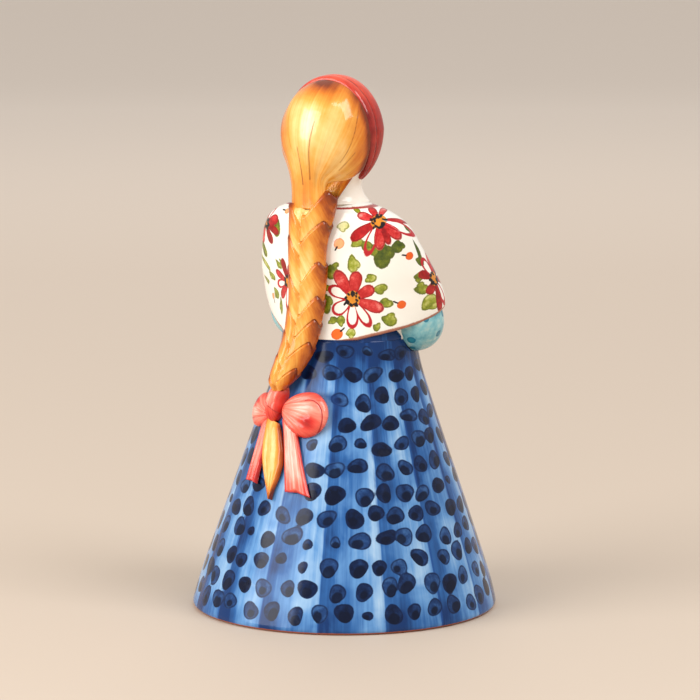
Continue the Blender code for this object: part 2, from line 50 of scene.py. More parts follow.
FAR = 9.0  # a distance in millimetres that no paint reaches
RNG = random.Random(20261118)

# ---------------------------------------------------------------- camera, floor and light

VIEW_AZIMUTH, VIEW_ELEVATION = math.radians(211), math.radians(8.6)
VIEW_DISTANCE = 0.9
VIEW_TARGET = Vector((0, 0, 0.062))
VIEW_ASIDE = 0.00137  # the view is aimed a little to the right of the bell
LENS, SENSOR = 192.3, 36.0
FLOOR_RINGS = (0.1, 0.25, 0.45, 0.8, 1.4, 6.0)
FLOOR_FADE_END = 1.4  # how far from the bell the floor is at its palest
RIGHT_OF_VIEW = Vector((math.cos(VIEW_AZIMUTH), math.sin(VIEW_AZIMUTH), 0))


def srgb(red, green, blue):
    """A colour given on the 0 to 255 scale, as the shader wants it."""
    made = []
    for part in (red, green, blue):
        part /= 255
        made.append(part / 12.92 if part <= 0.04045 else ((part + 0.055) / 1.055) ** 2.4)
    return (*made, 1.0)


def grey(value):
    """A number as a grey, for a ramp that gives a number."""
    return (value, value, value, 1.0)


def direction(azimuth, elevation):
    """From the bell towards a place given as angles in degrees, azimuth 0 being the front, -Y."""
    turn, rise = math.radians(azimuth), math.radians(elevation)
    return Vector((math.sin(turn) * math.cos(rise), -math.cos(turn) * math.cos(rise), math.sin(rise)))


def look_at(obj, spot, target):
    obj.location = spot
    obj.rotation_euler = (Vector(target) - Vector(spot)).to_track_quat("-Z", "Y").to_euler()


def make_camera():
    data = bpy.data.cameras.new("camera")
    data.lens, data.sensor_width, data.sensor_height = LENS, SENSOR, SENSOR
    data.clip_start, data.clip_end = 0.01, 20
    obj = bpy.data.objects.new("camera", data)
    bpy.context.scene.collection.objects.link(obj)
    aim = VIEW_TARGET + RIGHT_OF_VIEW * VIEW_ASIDE
    away = direction(math.degrees(VIEW_AZIMUTH), math.degrees(VIEW_ELEVATION))
    look_at(obj, aim + away * VIEW_DISTANCE, aim)
    bpy.context.scene.camera = obj


def softbox(name, azimuth, elevation, distance, width, height, watts, colour):
    """A rectangular light facing the bell. Angles are in degrees and sizes in metres."""
    data = bpy.data.lights.new(name, "AREA")
    data.shape = "RECTANGLE"
    data.size, data.size_y = width, height
    data.energy = watts
    data.color = colour
    obj = bpy.data.objects.new(name, data)
    bpy.context.scene.collection.objects.link(obj)
    look_at(obj, VIEW_TARGET + direction(azimuth, elevation) * distance, VIEW_TARGET)
    return obj


def make_lights():
    view = math.degrees(VIEW_AZIMUTH)
    softbox("window", view - 60, 24, 0.80, 0.60, 0.75, 6.4, (1.0, 0.985, 0.96))
    softbox("side_box", view + 54, 50, 0.80, 0.38, 0.52, 3.6, (0.97, 0.98, 1.0))
    fill = softbox("front_fill", view + 180, 40, 1.2, 0.7, 0.5, 2.4, (1.0, 0.98, 0.95))
    fill.visible_glossy = False
    world = bpy.data.worlds.new("studio")
    bpy.context.scene.world = world
    world.use_nodes = True
    sky = world.node_tree.nodes["Background"]
    sky.inputs["Color"].default_value = (0.80, 0.76, 0.72, 1)
    sky.inputs["Strength"].default_value = 0.78
    bpy.context.scene.view_settings.view_transform = "Standard"


def make_floor():
    """A disc whose paint gets paler with the distance from the bell."""
    mesh = bpy.data.meshes.new("floor")
    bm = bmesh.new()
    bmesh.ops.create_circle(bm, segments=96, radius=FLOOR_RINGS[0])
    bmesh.ops.contextual_create(bm, geom=bm.edges[:])
    rim = bm.edges[:]
    for radius in FLOOR_RINGS[1:]:
        made = bmesh.ops.extrude_edge_only(bm, edges=rim)["geom"]
        rim = [part for part in made if isinstance(part, bmesh.types.BMEdge)]
        for vert in [part for part in made if isinstance(part, bmesh.types.BMVert)]:
            vert.co = vert.co.normalized() * radius
    bm.to_mesh(mesh)
    bm.free()
    away = mesh.attributes.new("away", "FLOAT", "POINT")
    for vert, value in zip(mesh.vertices, away.data):
        value.value = min(1.0, vert.co.length / FLOOR_FADE_END)
    floor = bpy.data.objects.new("floor", mesh)
    bpy.context.scene.collection.objects.link(floor)
    paint = Paint("pale_floor", 0.75)
    near, middle, far = srgb(196, 180, 163), srgb(214, 199, 184), srgb(244, 232, 220)
    paint.colour(paint.ramp(paint.laid("away"), (0.0, near), (0.45, middle), (1.0, far)))
    mesh.materials.append(paint.material)


# ---------------------------------------------------------------- paint


class Paint:
    """A material being mixed: each call adds nodes, and gives the socket that carries their result."""

    def __init__(self, name, roughness=0.08, metallic=0.0):
        self.material = bpy.data.materials.new(name)
        self.material.use_nodes = True
        self.tree = self.material.node_tree
        self.shader = self.tree.nodes["Principled BSDF"]
        self.shader.inputs["Roughness"].default_value = roughness
        self.shader.inputs["Metallic"].default_value = metallic
        self.spot = None

    def put(self, socket, value):
        if isinstance(value, bpy.types.NodeSocket):
            self.tree.links.new(value, socket)
        else:
            socket.default_value = value

    def node(self, kind, inputs=(), **settings):
        made = self.tree.nodes.new(kind)
        for key, value in settings.items():
            setattr(made, key, value)
        for key, value in inputs:
            self.put(made.inputs[key], value)
        return made

    def laid(self, name):
        """A number that the mesh carries."""
        return self.node("ShaderNodeAttribute", attribute_name=name).outputs["Fac"]

    def laid_vector(self, name):
        return self.node("ShaderNodeAttribute", attribute_name=name).outputs["Vector"]

    def place(self, scale):
        """The point's place in millimetres, times a scale."""
        if self.spot is None:
            self.spot = self.node("ShaderNodeTexCoord").outputs["Object"]
        return self.stretch(self.spot, (1000 * scale,) * 3)

    def stretch(self, vector, scale):
        inputs = ((0, vector), (1, scale))
        return self.node("ShaderNodeVectorMath", inputs, operation="MULTIPLY").outputs[0]

    def noise(self, vector, scale, detail=2.0, roughness=0.5, distortion=0.0):
        inputs = (
            ("Vector", vector),
            ("Scale", scale),
            ("Detail", detail),
            ("Roughness", roughness),
            ("Distortion", distortion),
        )
        return self.node("ShaderNodeTexNoise", inputs).outputs["Fac"]

    def cloud(self, scale, detail=2.0, roughness=0.5):
        """A noise in the object's own space, the scale being in waves to the millimetre."""
        return self.noise(self.place(scale), 1.0, detail, roughness)

    def sum(self, operation, *values):
        """One sum of arithmetic, named as the shader's maths node names it."""
        return self.node("ShaderNodeMath", tuple(enumerate(values)), operation=operation).outputs[0]

    def wander(self, value, noise, amount):
        """The value moved by a noise, up to amount either way."""
        return self.sum("ADD", value, self.sum("MULTIPLY_ADD", noise, 2 * amount, -amount))

    def step(self, value, start, end):
        """0 before start, 1 after end, smooth between them. start may be the higher one."""
        inputs = (("Value", value), ("From Min", start), ("From Max", end))
        made = self.node("ShaderNodeMapRange", inputs, interpolation_type="SMOOTHSTEP")
        return made.outputs["Result"]

    def blend(self, share, first, second):
        made = self.node("ShaderNodeMix", data_type="RGBA")
        for socket, value in zip((made.inputs[0], made.inputs[6], made.inputs[7]), (share, first, second)):
            self.put(socket, value)
        return made.outputs[2]

    def cover(self, colour, over, distance, start, end):
        """A colour with another over it, from nothing at the distance start to all at the distance end."""
        return self.blend(self.step(distance, start, end), colour, over)

    def rimmed(self, colour, over, share, distance, inset, start=0.22, end=0.03):
        """A colour with a line of another, inset from the edge that the distance is measured from."""
        line = self.step(self.sum("ABSOLUTE", self.sum("ADD", distance, inset)), start, end)
        return self.blend(self.sum("MULTIPLY", line, share), colour, over)

    def ramp(self, value, *stops):
        """A colour for each value. A stop is (place, colour)."""
        made = self.node("ShaderNodeValToRGB", (("Fac", value),))
        slots = made.color_ramp.elements
        while len(slots) < len(stops):
            slots.new(0.5)
        for slot, (spot, colour) in zip(slots, stops):
            slot.position = spot
            slot.color = colour
        return made.outputs["Color"]

    def colour(self, socket):
        self.put(self.shader.inputs["Base Color"], socket)

    def roughness(self, socket):
        self.put(self.shader.inputs["Roughness"], socket)

    def bump(self, height, distance):
        """Relief of up to distance, in millimetres, where height goes from 0 to 1."""
        made = self.node("ShaderNodeBump", (("Height", height), ("Distance", distance * MM)))
        self.put(self.shader.inputs["Normal"], made.outputs["Normal"])

    def glaze(self, height=None, wave=0.10, gloss=0.5, dullness=1.0):
        """The unevenness of a thick glaze: its gloss varies a little, and its surface is softly wavy."""
        haze = self.cloud(0.9, 3)
        self.roughness(self.ramp(haze, (0.35, grey(0.055 * dullness)), (0.75, grey(0.115 * dullness))))
        swell = self.cloud(0.11, 2)
        if height is not None:
            swell = self.sum("MULTIPLY_ADD", height, 0.35, swell)
        self.bump(swell, wave)
        self.shader.inputs["Specular IOR Level"].default_value = gloss
        return self.material


# ---------------------------------------------------------------- meshes from grids of points


def settle(obj, body, replaced):
    """Put an object in the scene, riding on its body in place of a CAD piece."""
    bpy.context.scene.collection.objects.link(obj)
    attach(obj, body)
    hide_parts(replaced)


def piece(name, mesh, replaced, body="bell"):
    """An object from a mesh in millimetres."""
    mesh.transform(Matrix.Scale(MM, 4))
    settle(bpy.data.objects.new(name, mesh), body, replaced)


def xyz(*parts):
    """Vectors from arrays of their three parts, which may be spread out to one shape."""
    return np.stack(np.broadcast_arrays(*parts), axis=-1)


def full_turn(count):
    """Evenly spaced angles once round."""
    return np.arange(count) * TAU / count


def grid_mesh(name, points, looks, values=None, looped=False, slots=None):
    """A closed mesh through rows of points that each run round the shape.

    looped joins the last row to the first. Otherwise each end is closed with a point in its row's middle.
    values are numbers or vectors that the points carry, spread out to the grid. slots is each row's material.
    """
    rows, columns = points.shape[:2]
    index = np.arange(rows * columns).reshape(rows, columns)
    down = np.vstack([index[1:], index[:1]]) if looped else index[1:]
    up = index if looped else index[:-1]
    faces = np.stack([up, np.roll(up, -1, 1), np.roll(down, -1, 1), down], axis=-1).reshape(-1, 4).tolist()
    verts = points.reshape(-1, 3)
    of_row = np.repeat(np.arange(len(up)), columns)
    if not looped:
        verts = np.vstack([verts, points[0].mean(0), points[-1].mean(0)])
        top, foot = rows * columns, rows * columns + 1
        first, last = index[0], index[-1]
        faces += [[top, b, a] for a, b in zip(first.tolist(), np.roll(first, -1).tolist())]
        faces += [[foot, a, b] for a, b in zip(last.tolist(), np.roll(last, -1).tolist())]
        of_row = np.concatenate([of_row, np.zeros(columns, int), np.full(columns, len(up) - 1)])
    mesh = bpy.data.meshes.new(name)
    mesh.from_pydata(verts.tolist(), [], faces)
    for look in looks:
        mesh.materials.append(look)
    for key, value in (values or {}).items():
        value = np.asarray(value, float)
        vector = value.ndim == 3
        value = np.broadcast_to(value, points.shape if vector else (rows, columns))
        flat = value.reshape(-1, 3) if vector else value.reshape(-1)
        if not looped:
            flat = np.concatenate([flat, value[0].mean(0)[None], value[-1].mean(0)[None]])
        made = mesh.attributes.new(key, "FLOAT_VECTOR" if vector else "FLOAT", "POINT")
        made.data.foreach_set("vector" if vector else "value", flat.astype(np.float32).reshape(-1))
    if slots is not None:
        mesh.polygons.foreach_set("material_index", np.asarray(slots)[of_row].astype(np.int32))
    bm = bmesh.new()
    bm.from_mesh(mesh)
    bmesh.ops.recalc_face_normals(bm, faces=bm.faces)
    bm.to_mesh(mesh)
    bm.free()
    mesh.shade_smooth()
    return mesh


def wrap(angle):
    return (angle + math.pi) % TAU - math.pi


def ease(value, start, end):
    """0 before start, 1 after end, smooth between them."""
    share = np.clip((value - start) / (end - start), 0, 1)
    return share * share * (3 - 2 * share)


def through(stations, spots):
    """Values at spots on a smooth curve through stations of (spot, values...)."""
    table = np.array(stations, float)
    knots, heights = table[:, 0], table[:, 1:]
    slopes = np.gradient(heights, knots, axis=0)
    spots = np.clip(np.asarray(spots, float), knots[0], knots[-1])
    i = np.clip(np.searchsorted(knots, spots, side="right") - 1, 0, len(knots) - 2)
    gap = (knots[i + 1] - knots[i])[..., None]
    t = ((spots - knots[i])[..., None]) / gap
    a = heights[i] * (2 * t**3 - 3 * t**2 + 1) + heights[i + 1] * (3 * t**2 - 2 * t**3)
    b = slopes[i] * (t**3 - 2 * t**2 + t) * gap + slopes[i + 1] * (t**3 - t**2) * gap
    return np.moveaxis(a + b, -1, 0)


# ---------------------------------------------------------------- skirt

SKIRT_TOP = 66.2
SKIRT_WALL = 3.2
MOUTH_RADIUS, CONE_SLOPE = 37.8, 0.35
RIM_TUCK, RIM_TUCK_HEIGHT = 0.9, 4.5
WAIST_START, WAIST_FLARE = 54.0, 1.45
RIM_ROUND, INNER_ROUND = 1.1, 0.6
LEAN = 0.034
GORES = 16  # broad strips of wash, each from a dark edge to a pale one
WAIST_DEEPEN = 0.36  # how much darker the wash gets at the waist
DOT_ROWS, DOT_TOP, DOT_ROW_STEP = 12, 63.4, 5.3
STREAK_RADIUS = 25.0  # the radius on which brush marks are laid out, so that they run down the cone

GORE_TURNS = sorted(TAU * (k + RNG.uniform(-0.12, 0.12)) / GORES for k in range(GORES))


def skirt_radius(z):
    flare = WAIST_FLARE * (np.maximum(0.0, z - WAIST_START) / (SKIRT_TOP - WAIST_START)) ** 2
    return MOUTH_RADIUS - CONE_SLOPE * z - RIM_TUCK * np.exp(-z / RIM_TUCK_HEIGHT) + flare


def brush_place(turn, z):
    """Where the brush marks of a point are read, in millimetres."""
    return xyz(STREAK_RADIUS * np.sin(turn), STREAK_RADIUS * np.cos(turn), z)


def gore_values(turn, radius):
    """How far across its strip of wash a point is, and its distance from the strip's nearer side."""
    edges = np.array(GORE_TURNS + [GORE_TURNS[0] + TAU])
    turn = (turn - edges[0]) % TAU + edges[0]
    i = np.clip(np.searchsorted(edges, turn, side="right") - 1, 0, GORES - 1)
    share = (edges[i + 1] - turn) / (edges[i + 1] - edges[i])
    near = np.minimum(turn - edges[i], edges[i + 1] - turn) * radius
    return share, near


# What lies on the skirt's back, as lines from one X, Z to another with half a width: plait, bow, three ends.
ON_SKIRT = (
    (2.4, 66, 6.4, 54, 2.6),
    (-4.4, 49.5, 12, 48.5, 4.0),
    (2.2, 46, -2.0, 32, 2.2),
    (6.6, 46, 4.6, 31, 1.6),
    (10.4, 46, 11.6, 34, 1.4),
)


def from_line(x, z, line):
    """Distance to a line between two points of the skirt's back, beyond its half width."""
    x0, z0, x1, z1, half = line
    share = ((x - x0) * (x1 - x0) + (z - z0) * (z1 - z0)) / ((x1 - x0) ** 2 + (z1 - z0) ** 2)
    share = np.clip(share, 0, 1)
    return np.hypot(x - x0 - share * (x1 - x0), z - z0 - share * (z1 - z0)) - half


def under_bow(x, z, back):
    """Whether a dot there would be hidden. back is above 0 behind her."""
    return back > 0 and min(from_line(x, z, line) for line in ON_SKIRT) < 0.4


def spots_on_skirt():
    """The painted dots: turn, height, half sizes, tilt, darkness and two numbers for outline and heart."""
    made = []
    for row in range(DOT_ROWS):
        z = DOT_TOP - DOT_ROW_STEP * row
        down = row / (DOT_ROWS - 1)
        pitch = 5.1 + 0.85 * down
        radius = float(skirt_radius(z))
        count = round(TAU * radius / pitch)
        start = RNG.random()
        for k in range(count):
            turn = TAU * (k + start + RNG.uniform(-0.17, 0.17)) / count
            small = RNG.random() < 0.07
            size = 0.6 if small else 1.0
            half_w = RNG.uniform(1.9, 2.65) * size * (1.1 - 0.1 * down)
            half_h = RNG.uniform(1.7, 2.3) * size * (0.85 + 0.2 * down)
            height = z + RNG.uniform(-0.95, 0.95)
            tilt = RNG.uniform(-0.5, 0.5)
            spot = (turn, height, half_w, half_h, tilt, RNG.random(), RNG.uniform(0, TAU), RNG.random())
            if not under_bow(radius * math.sin(turn), height, math.cos(turn)):
                made.append(spot)
    return made


def dot_values(turn, z, radius, spots):
    """Signed distance to the nearest dot and to its dark heart, and that dot's darkness."""
    dot = np.full(z.shape, FAR)
    heart = np.full(z.shape, FAR)
    tone = np.zeros(z.shape)
    for spot_turn, height, half_w, half_h, tilt, dark, phase, other in spots:
        across = wrap(turn - spot_turn) * radius
        up = z - height
        near = (np.abs(across) < 5) & (np.abs(up) < 5)
        x, y = across[near], up[near]
        c, s = math.cos(tilt), math.sin(tilt)
        u, v = (x * c + y * s) / half_w, (y * c - x * s) / half_h
        angle = np.arctan2(v, u)
        bulge = 1 + 0.07 * np.cos(2 * angle + phase) + 0.06 * np.cos(3 * angle + 2 * phase)
        reach = (np.hypot(u, v) / bulge - 1) * min(half_w, half_h)
        shift_x, shift_y = 0.25 * math.cos(phase), -0.25 - 0.25 * other
        size = 0.42 + 0.3 * other
        core = (np.hypot(u - shift_x, v - shift_y) / bulge - size) * min(half_w, half_h)
        better = reach < dot[near]
        dot[near] = np.where(better, reach, dot[near])
        heart[near] = np.where(better, core, heart[near])
        tone[near] = np.where(better, dark, tone[near])
    return dot, heart, tone


def skirt_paint():
    paint = Paint("painted_skirt")
    brush = paint.laid_vector("brush")
    fine = paint.noise(paint.stretch(brush, (1.5, 1.5, 0.05)), 1.0, 4, 0.6)
    broad = paint.noise(paint.stretch(brush, (0.30, 0.30, 0.03)), 1.0, 3, 0.55, 0.4)
    cloud = paint.noise(paint.stretch(brush, (0.13, 0.13, 0.10)), 1.0, 3, 0.5, 0.6)
    gore = paint.laid("gore")
    fade = paint.step(paint.wander(gore, broad, 0.25), 0.85, 0.0)
    depth = paint.sum("MULTIPLY_ADD", fade, 0.27, paint.sum("MULTIPLY", broad, 0.50))
    depth = paint.sum("MULTIPLY_ADD", fine, 0.22, depth)
    depth = paint.sum("MULTIPLY_ADD", cloud, 0.50, depth)
    depth = paint.sum("ADD", depth, paint.laid("deepen"))
    wash = paint.ramp(
        depth,
        (0.36, srgb(204, 220, 234)),
        (0.50, srgb(150, 186, 220)),
        (0.64, srgb(96, 146, 200)),
        (0.79, srgb(46, 96, 158)),
        (0.95, srgb(20, 52, 104)),
    )
    edge = paint.step(paint.wander(paint.laid("fold"), fine, 0.25), 0.55, 0.05)
    edge = paint.sum("MULTIPLY", edge, paint.step(cloud, 0.35, 0.6))
    wash = paint.blend(paint.sum("MULTIPLY", edge, 0.75), wash, srgb(34, 78, 146))
    patch = paint.cloud(0.55, 3, 0.6)
    dot = paint.wander(paint.laid("dot"), patch, 0.16)
    inside = paint.step(dot, 0.10, -0.12)
    tone = paint.laid("tone")
    shade = paint.sum("MULTIPLY_ADD", patch, 0.7, paint.sum("MULTIPLY", tone, 0.45))
    body = paint.ramp(
        shade,
        (0.20, srgb(62, 104, 158)),
        (0.42, srgb(30, 62, 112)),
        (0.64, srgb(12, 32, 70)),
        (0.85, srgb(4, 14, 38)),
    )
    body = paint.rimmed(body, srgb(10, 26, 62), 0.75, dot, 0.22, 0.30, 0.04)
    heart = paint.step(paint.wander(paint.laid("heart"), patch, 0.35), 0.22, -0.22)
    body = paint.blend(paint.sum("MULTIPLY", heart, 0.9), body, srgb(5, 14, 38))
    colour = paint.blend(inside, wash, body)
    colour = paint.blend(paint.laid("shadow"), colour, srgb(22, 52, 110))
    colour = paint.blend(paint.laid("within"), colour, srgb(226, 221, 210))
    bare = paint.step(paint.wander(paint.laid("bare"), fine, 0.12), 0.10, -0.10)
    colour = paint.blend(bare, colour, paint.blend(patch, srgb(150, 78, 54), srgb(182, 104, 74)))
    paint.colour(colour)
    return paint.glaze(wave=0.10, gloss=0.24, dullness=2.0)


def make_skirt(looks):
    columns = 384
    turn = full_turn(columns)
    outer_z = np.linspace(SKIRT_TOP, RIM_ROUND, 118)
    round_turns = np.linspace(0, math.pi / 2, 6)[1:]
    rim_edge = float(skirt_radius(RIM_ROUND))
    rows = [(float(skirt_radius(z)), z) for z in outer_z]
    rows += [(rim_edge - RIM_ROUND * (1 - math.cos(a)), RIM_ROUND * (1 - math.sin(a))) for a in round_turns]
    inner_edge = rim_edge - SKIRT_WALL + INNER_ROUND
    rows += [(inner_edge, 0.0)]
    rows += [(inner_edge - INNER_ROUND * math.sin(a), INNER_ROUND * (1 - math.cos(a))) for a in round_turns]
    rows += [(float(skirt_radius(z)) - SKIRT_WALL, z) for z in np.linspace(1.6, SKIRT_TOP, 34)]
    radius, height = (np.array(column)[:, None] for column in zip(*rows))
    outer_rows = len(outer_z)
    outside = (np.arange(len(rows)) < outer_rows + 3)[:, None]
    turns = np.broadcast_to(turn[None, :], (len(rows), columns))
    heights = np.broadcast_to(height, turns.shape)
    share, near = gore_values(turns, radius)
    pleat = 0.06 * np.exp(-((near / 0.9) ** 2)) * ease(heights, 1.5, 6) * outside
    throwing = 0.06 * np.sin(5 * turns + 0.06 * heights) * np.sin(0.17 * heights + 1.0) * ease(heights, 1, 8)
    reach = radius - pleat + throwing
    points = xyz(reach * np.sin(turns), reach * np.cos(turns) - LEAN * heights, heights)
    dot, heart, tone = dot_values(turns, heights, radius, SPOTS)
    dot = np.where(outside, dot, FAR)
    apart = np.minimum.reduce([from_line(points[..., 0], heights, line) for line in ON_SKIRT])
    behind = (points[..., 1] > 0) & outside
    shadow = 0.8 * np.exp(-((apart / 0.9) ** 2)) * behind * ease(heights, 40, 56)
    deepen = WAIST_DEEPEN * ease(heights, 55, 65) - 0.03 * ease(heights, 40, 15)
    deepen = deepen + 0.10 * ease(heights, 7, 2)
    values = {
        "brush": brush_place(turns, heights),
        "gore": share,
        "fold": near,
        "dot": dot,
        "heart": heart,
        "tone": tone,
        "deepen": deepen,
        "shadow": shadow,
        "within": ~outside,
        "bare": np.where(radius > rim_edge - SKIRT_WALL - 0.2, heights - 0.55, FAR),
    }
    mesh = grid_mesh("skirt_glazed", points, looks, values, looped=True)
    piece("skirt_glazed", mesh, "skirt_shell")


# ---------------------------------------------------------------- shawl and torso

# Height, half width, half depth and centre Y of the chest.
CHEST = (
    (66.5, 15.4, 14.6, -0.4),
    (72, 15.0, 13.6, 0.0),
    (80, 15.0, 12.8, 0.3),
    (88, 14.5, 11.8, 0.9),
    (93, 12.5, 10.0, 2.0),
    (96.5, 9.0, 8.0, 3.2),
    (99, 6.8, 6.6, 3.6),
)
# Height, side offset, Y and radius of the cloth over each arm.
ARM = (
    (66.5, 16.0, -5.4, 5.9),
    (70, 17.0, -5.7, 6.35),
    (73.5, 17.5, -5.2, 6.6),
    (77, 17.5, -4.2, 6.65),
    (81.3, 16.8, -2.0, 6.6),
    (85.2, 15.6, -0.1, 6.6),
    (88.9, 14.4, 1.6, 6.5),
    (92.6, 13.3, 2.9, 6.0),
    (95.3, 12.2, 4.0, 4.8),
    (97.3, 9.6, 4.5, 3.6),
    (99, 4.0, 4.2, 3.0),
)
HULL_POWER = 14
TORSO_LOW, TORSO_HIGH = 66.5, 99.0
TORSO_WALL = 3.0
NECKLINE = 97.75
HEM_STEP = 0.35  # how far the shawl stands out over the waist at its hem
VEE_FOOT, VEE_SLOPE = 76, 0.30  # the opening in front: its lowest point, and how much it widens with height
OUTLINE_POINTS = 2160
TORSO_LEVELS, TORSO_TURNS = 131, 721  # how finely the torso's radius is tabled


def torso_ring(z, grow=0.0, arms_too=True):
    """The outline at a height: the chest and both arms under one tight cloth, from its support widths."""
    half_x, half_y, chest_y = (float(v) for v in through(CHEST, [z])[:, 0])
    arm_x, arm_y, arm_r = (float(v) for v in through(ARM, [z])[:, 0])
    turn = full_turn(OUTLINE_POINTS)

    def reach(turn):
        c, s = np.cos(turn), np.sin(turn)
        chest = np.hypot((half_x + grow) * c, (half_y + grow) * s) + chest_y * s
        arms = [np.maximum(0.0, side * arm_x * c + arm_y * s + arm_r + grow) * arms_too for side in (-1, 1)]
        return (chest**HULL_POWER + arms[0] ** HULL_POWER + arms[1] ** HULL_POWER) ** (1 / HULL_POWER)

    small = 1e-4
    width = reach(turn)
    slope = (reach(turn + small) - reach(turn - small)) / (2 * small)
    x = width * np.cos(turn) - slope * np.sin(turn)
    y = width * np.sin(turn) + slope * np.cos(turn)
    return x, y


def ring_centre(z):
    return np.interp(z, (66.5, 88, 99), (-0.8, 0.8, 3.6))


def torso_table(grow=0.0, arms_too=True):
    """Heights, turns and the radius at each of them, a turn being 0 at the back and growing to her left."""
    levels = np.linspace(TORSO_LOW, TORSO_HIGH, TORSO_LEVELS)
    turns = np.linspace(-math.pi, math.pi, TORSO_TURNS)
    radii = []
    for z in levels:
        x, y = torso_ring(z, grow, arms_too)
        y = y - ring_centre(z)
        polar = np.arctan2(x, y)
        order = np.argsort(polar)
        radii.append(np.interp(turns, polar[order], np.hypot(x, y)[order], period=TAU))
    return levels, turns, np.array(radii)


def sample(table, z, turn):
    """The radius from a table at any heights and turns."""
    levels, turns, radii = table
    row = np.clip((z - levels[0]) / (levels[1] - levels[0]), 0, len(levels) - 1.001)
    column = (wrap(turn) - turns[0]) / (turns[1] - turns[0])
    column = np.clip(column, 0, len(turns) - 1.001)
    i, j = row.astype(int), column.astype(int)
    a, b = row - i, column - j
    low = radii[i, j] * (1 - b) + radii[i, j + 1] * b
    high = radii[i + 1, j] * (1 - b) + radii[i + 1, j + 1] * b
    return low * (1 - a) + high * a


def hem_height(turn):
    """The shawl's lower edge: lowest at the back, up over the elbows, and down again in front."""
    return through(HEM, np.degrees(np.abs(wrap(turn))))[0]


# Turn from the back and height of the shawl's lower edge.
HEM = (
    (0, 65.5),
    (20, 65.6),
    (35, 66.2),
    (50, 67.0),
    (66, 67.9),
    (88, 69.9),
    (100, 72.2),
    (112, 74.0),
    (130, 74.6),
    (155, 73.9),
    (180, 73.4),
)
TORSO = torso_table()
WAIST = torso_table(arms_too=False)


def torso_point(turn_deg, z):
    turn = np.array(math.radians(turn_deg))
    radius = float(sample(TORSO, np.array(z), turn))
    return Vector((radius * math.sin(turn), float(ring_centre(z)) + radius * math.cos(turn), z))


def torso_frame(turn_deg, z):
    """A point on the shawl, and the directions across and up the cloth as seen from outside."""
    spot = torso_point(turn_deg, z)
    across = (torso_point(turn_deg + 2, z) - torso_point(turn_deg - 2, z)).normalized()
    up = (torso_point(turn_deg, z + 0.4) - torso_point(turn_deg, z - 0.4)).normalized()
    out = across.cross(up)
    if out.dot(spot - Vector((0, float(ring_centre(z)), z))) < 0:
        out = -out
    right = up.cross(out).normalized()
    return spot, right, up


STROKE_REACH = 13  # no flower or leaf goes further than this from its seat


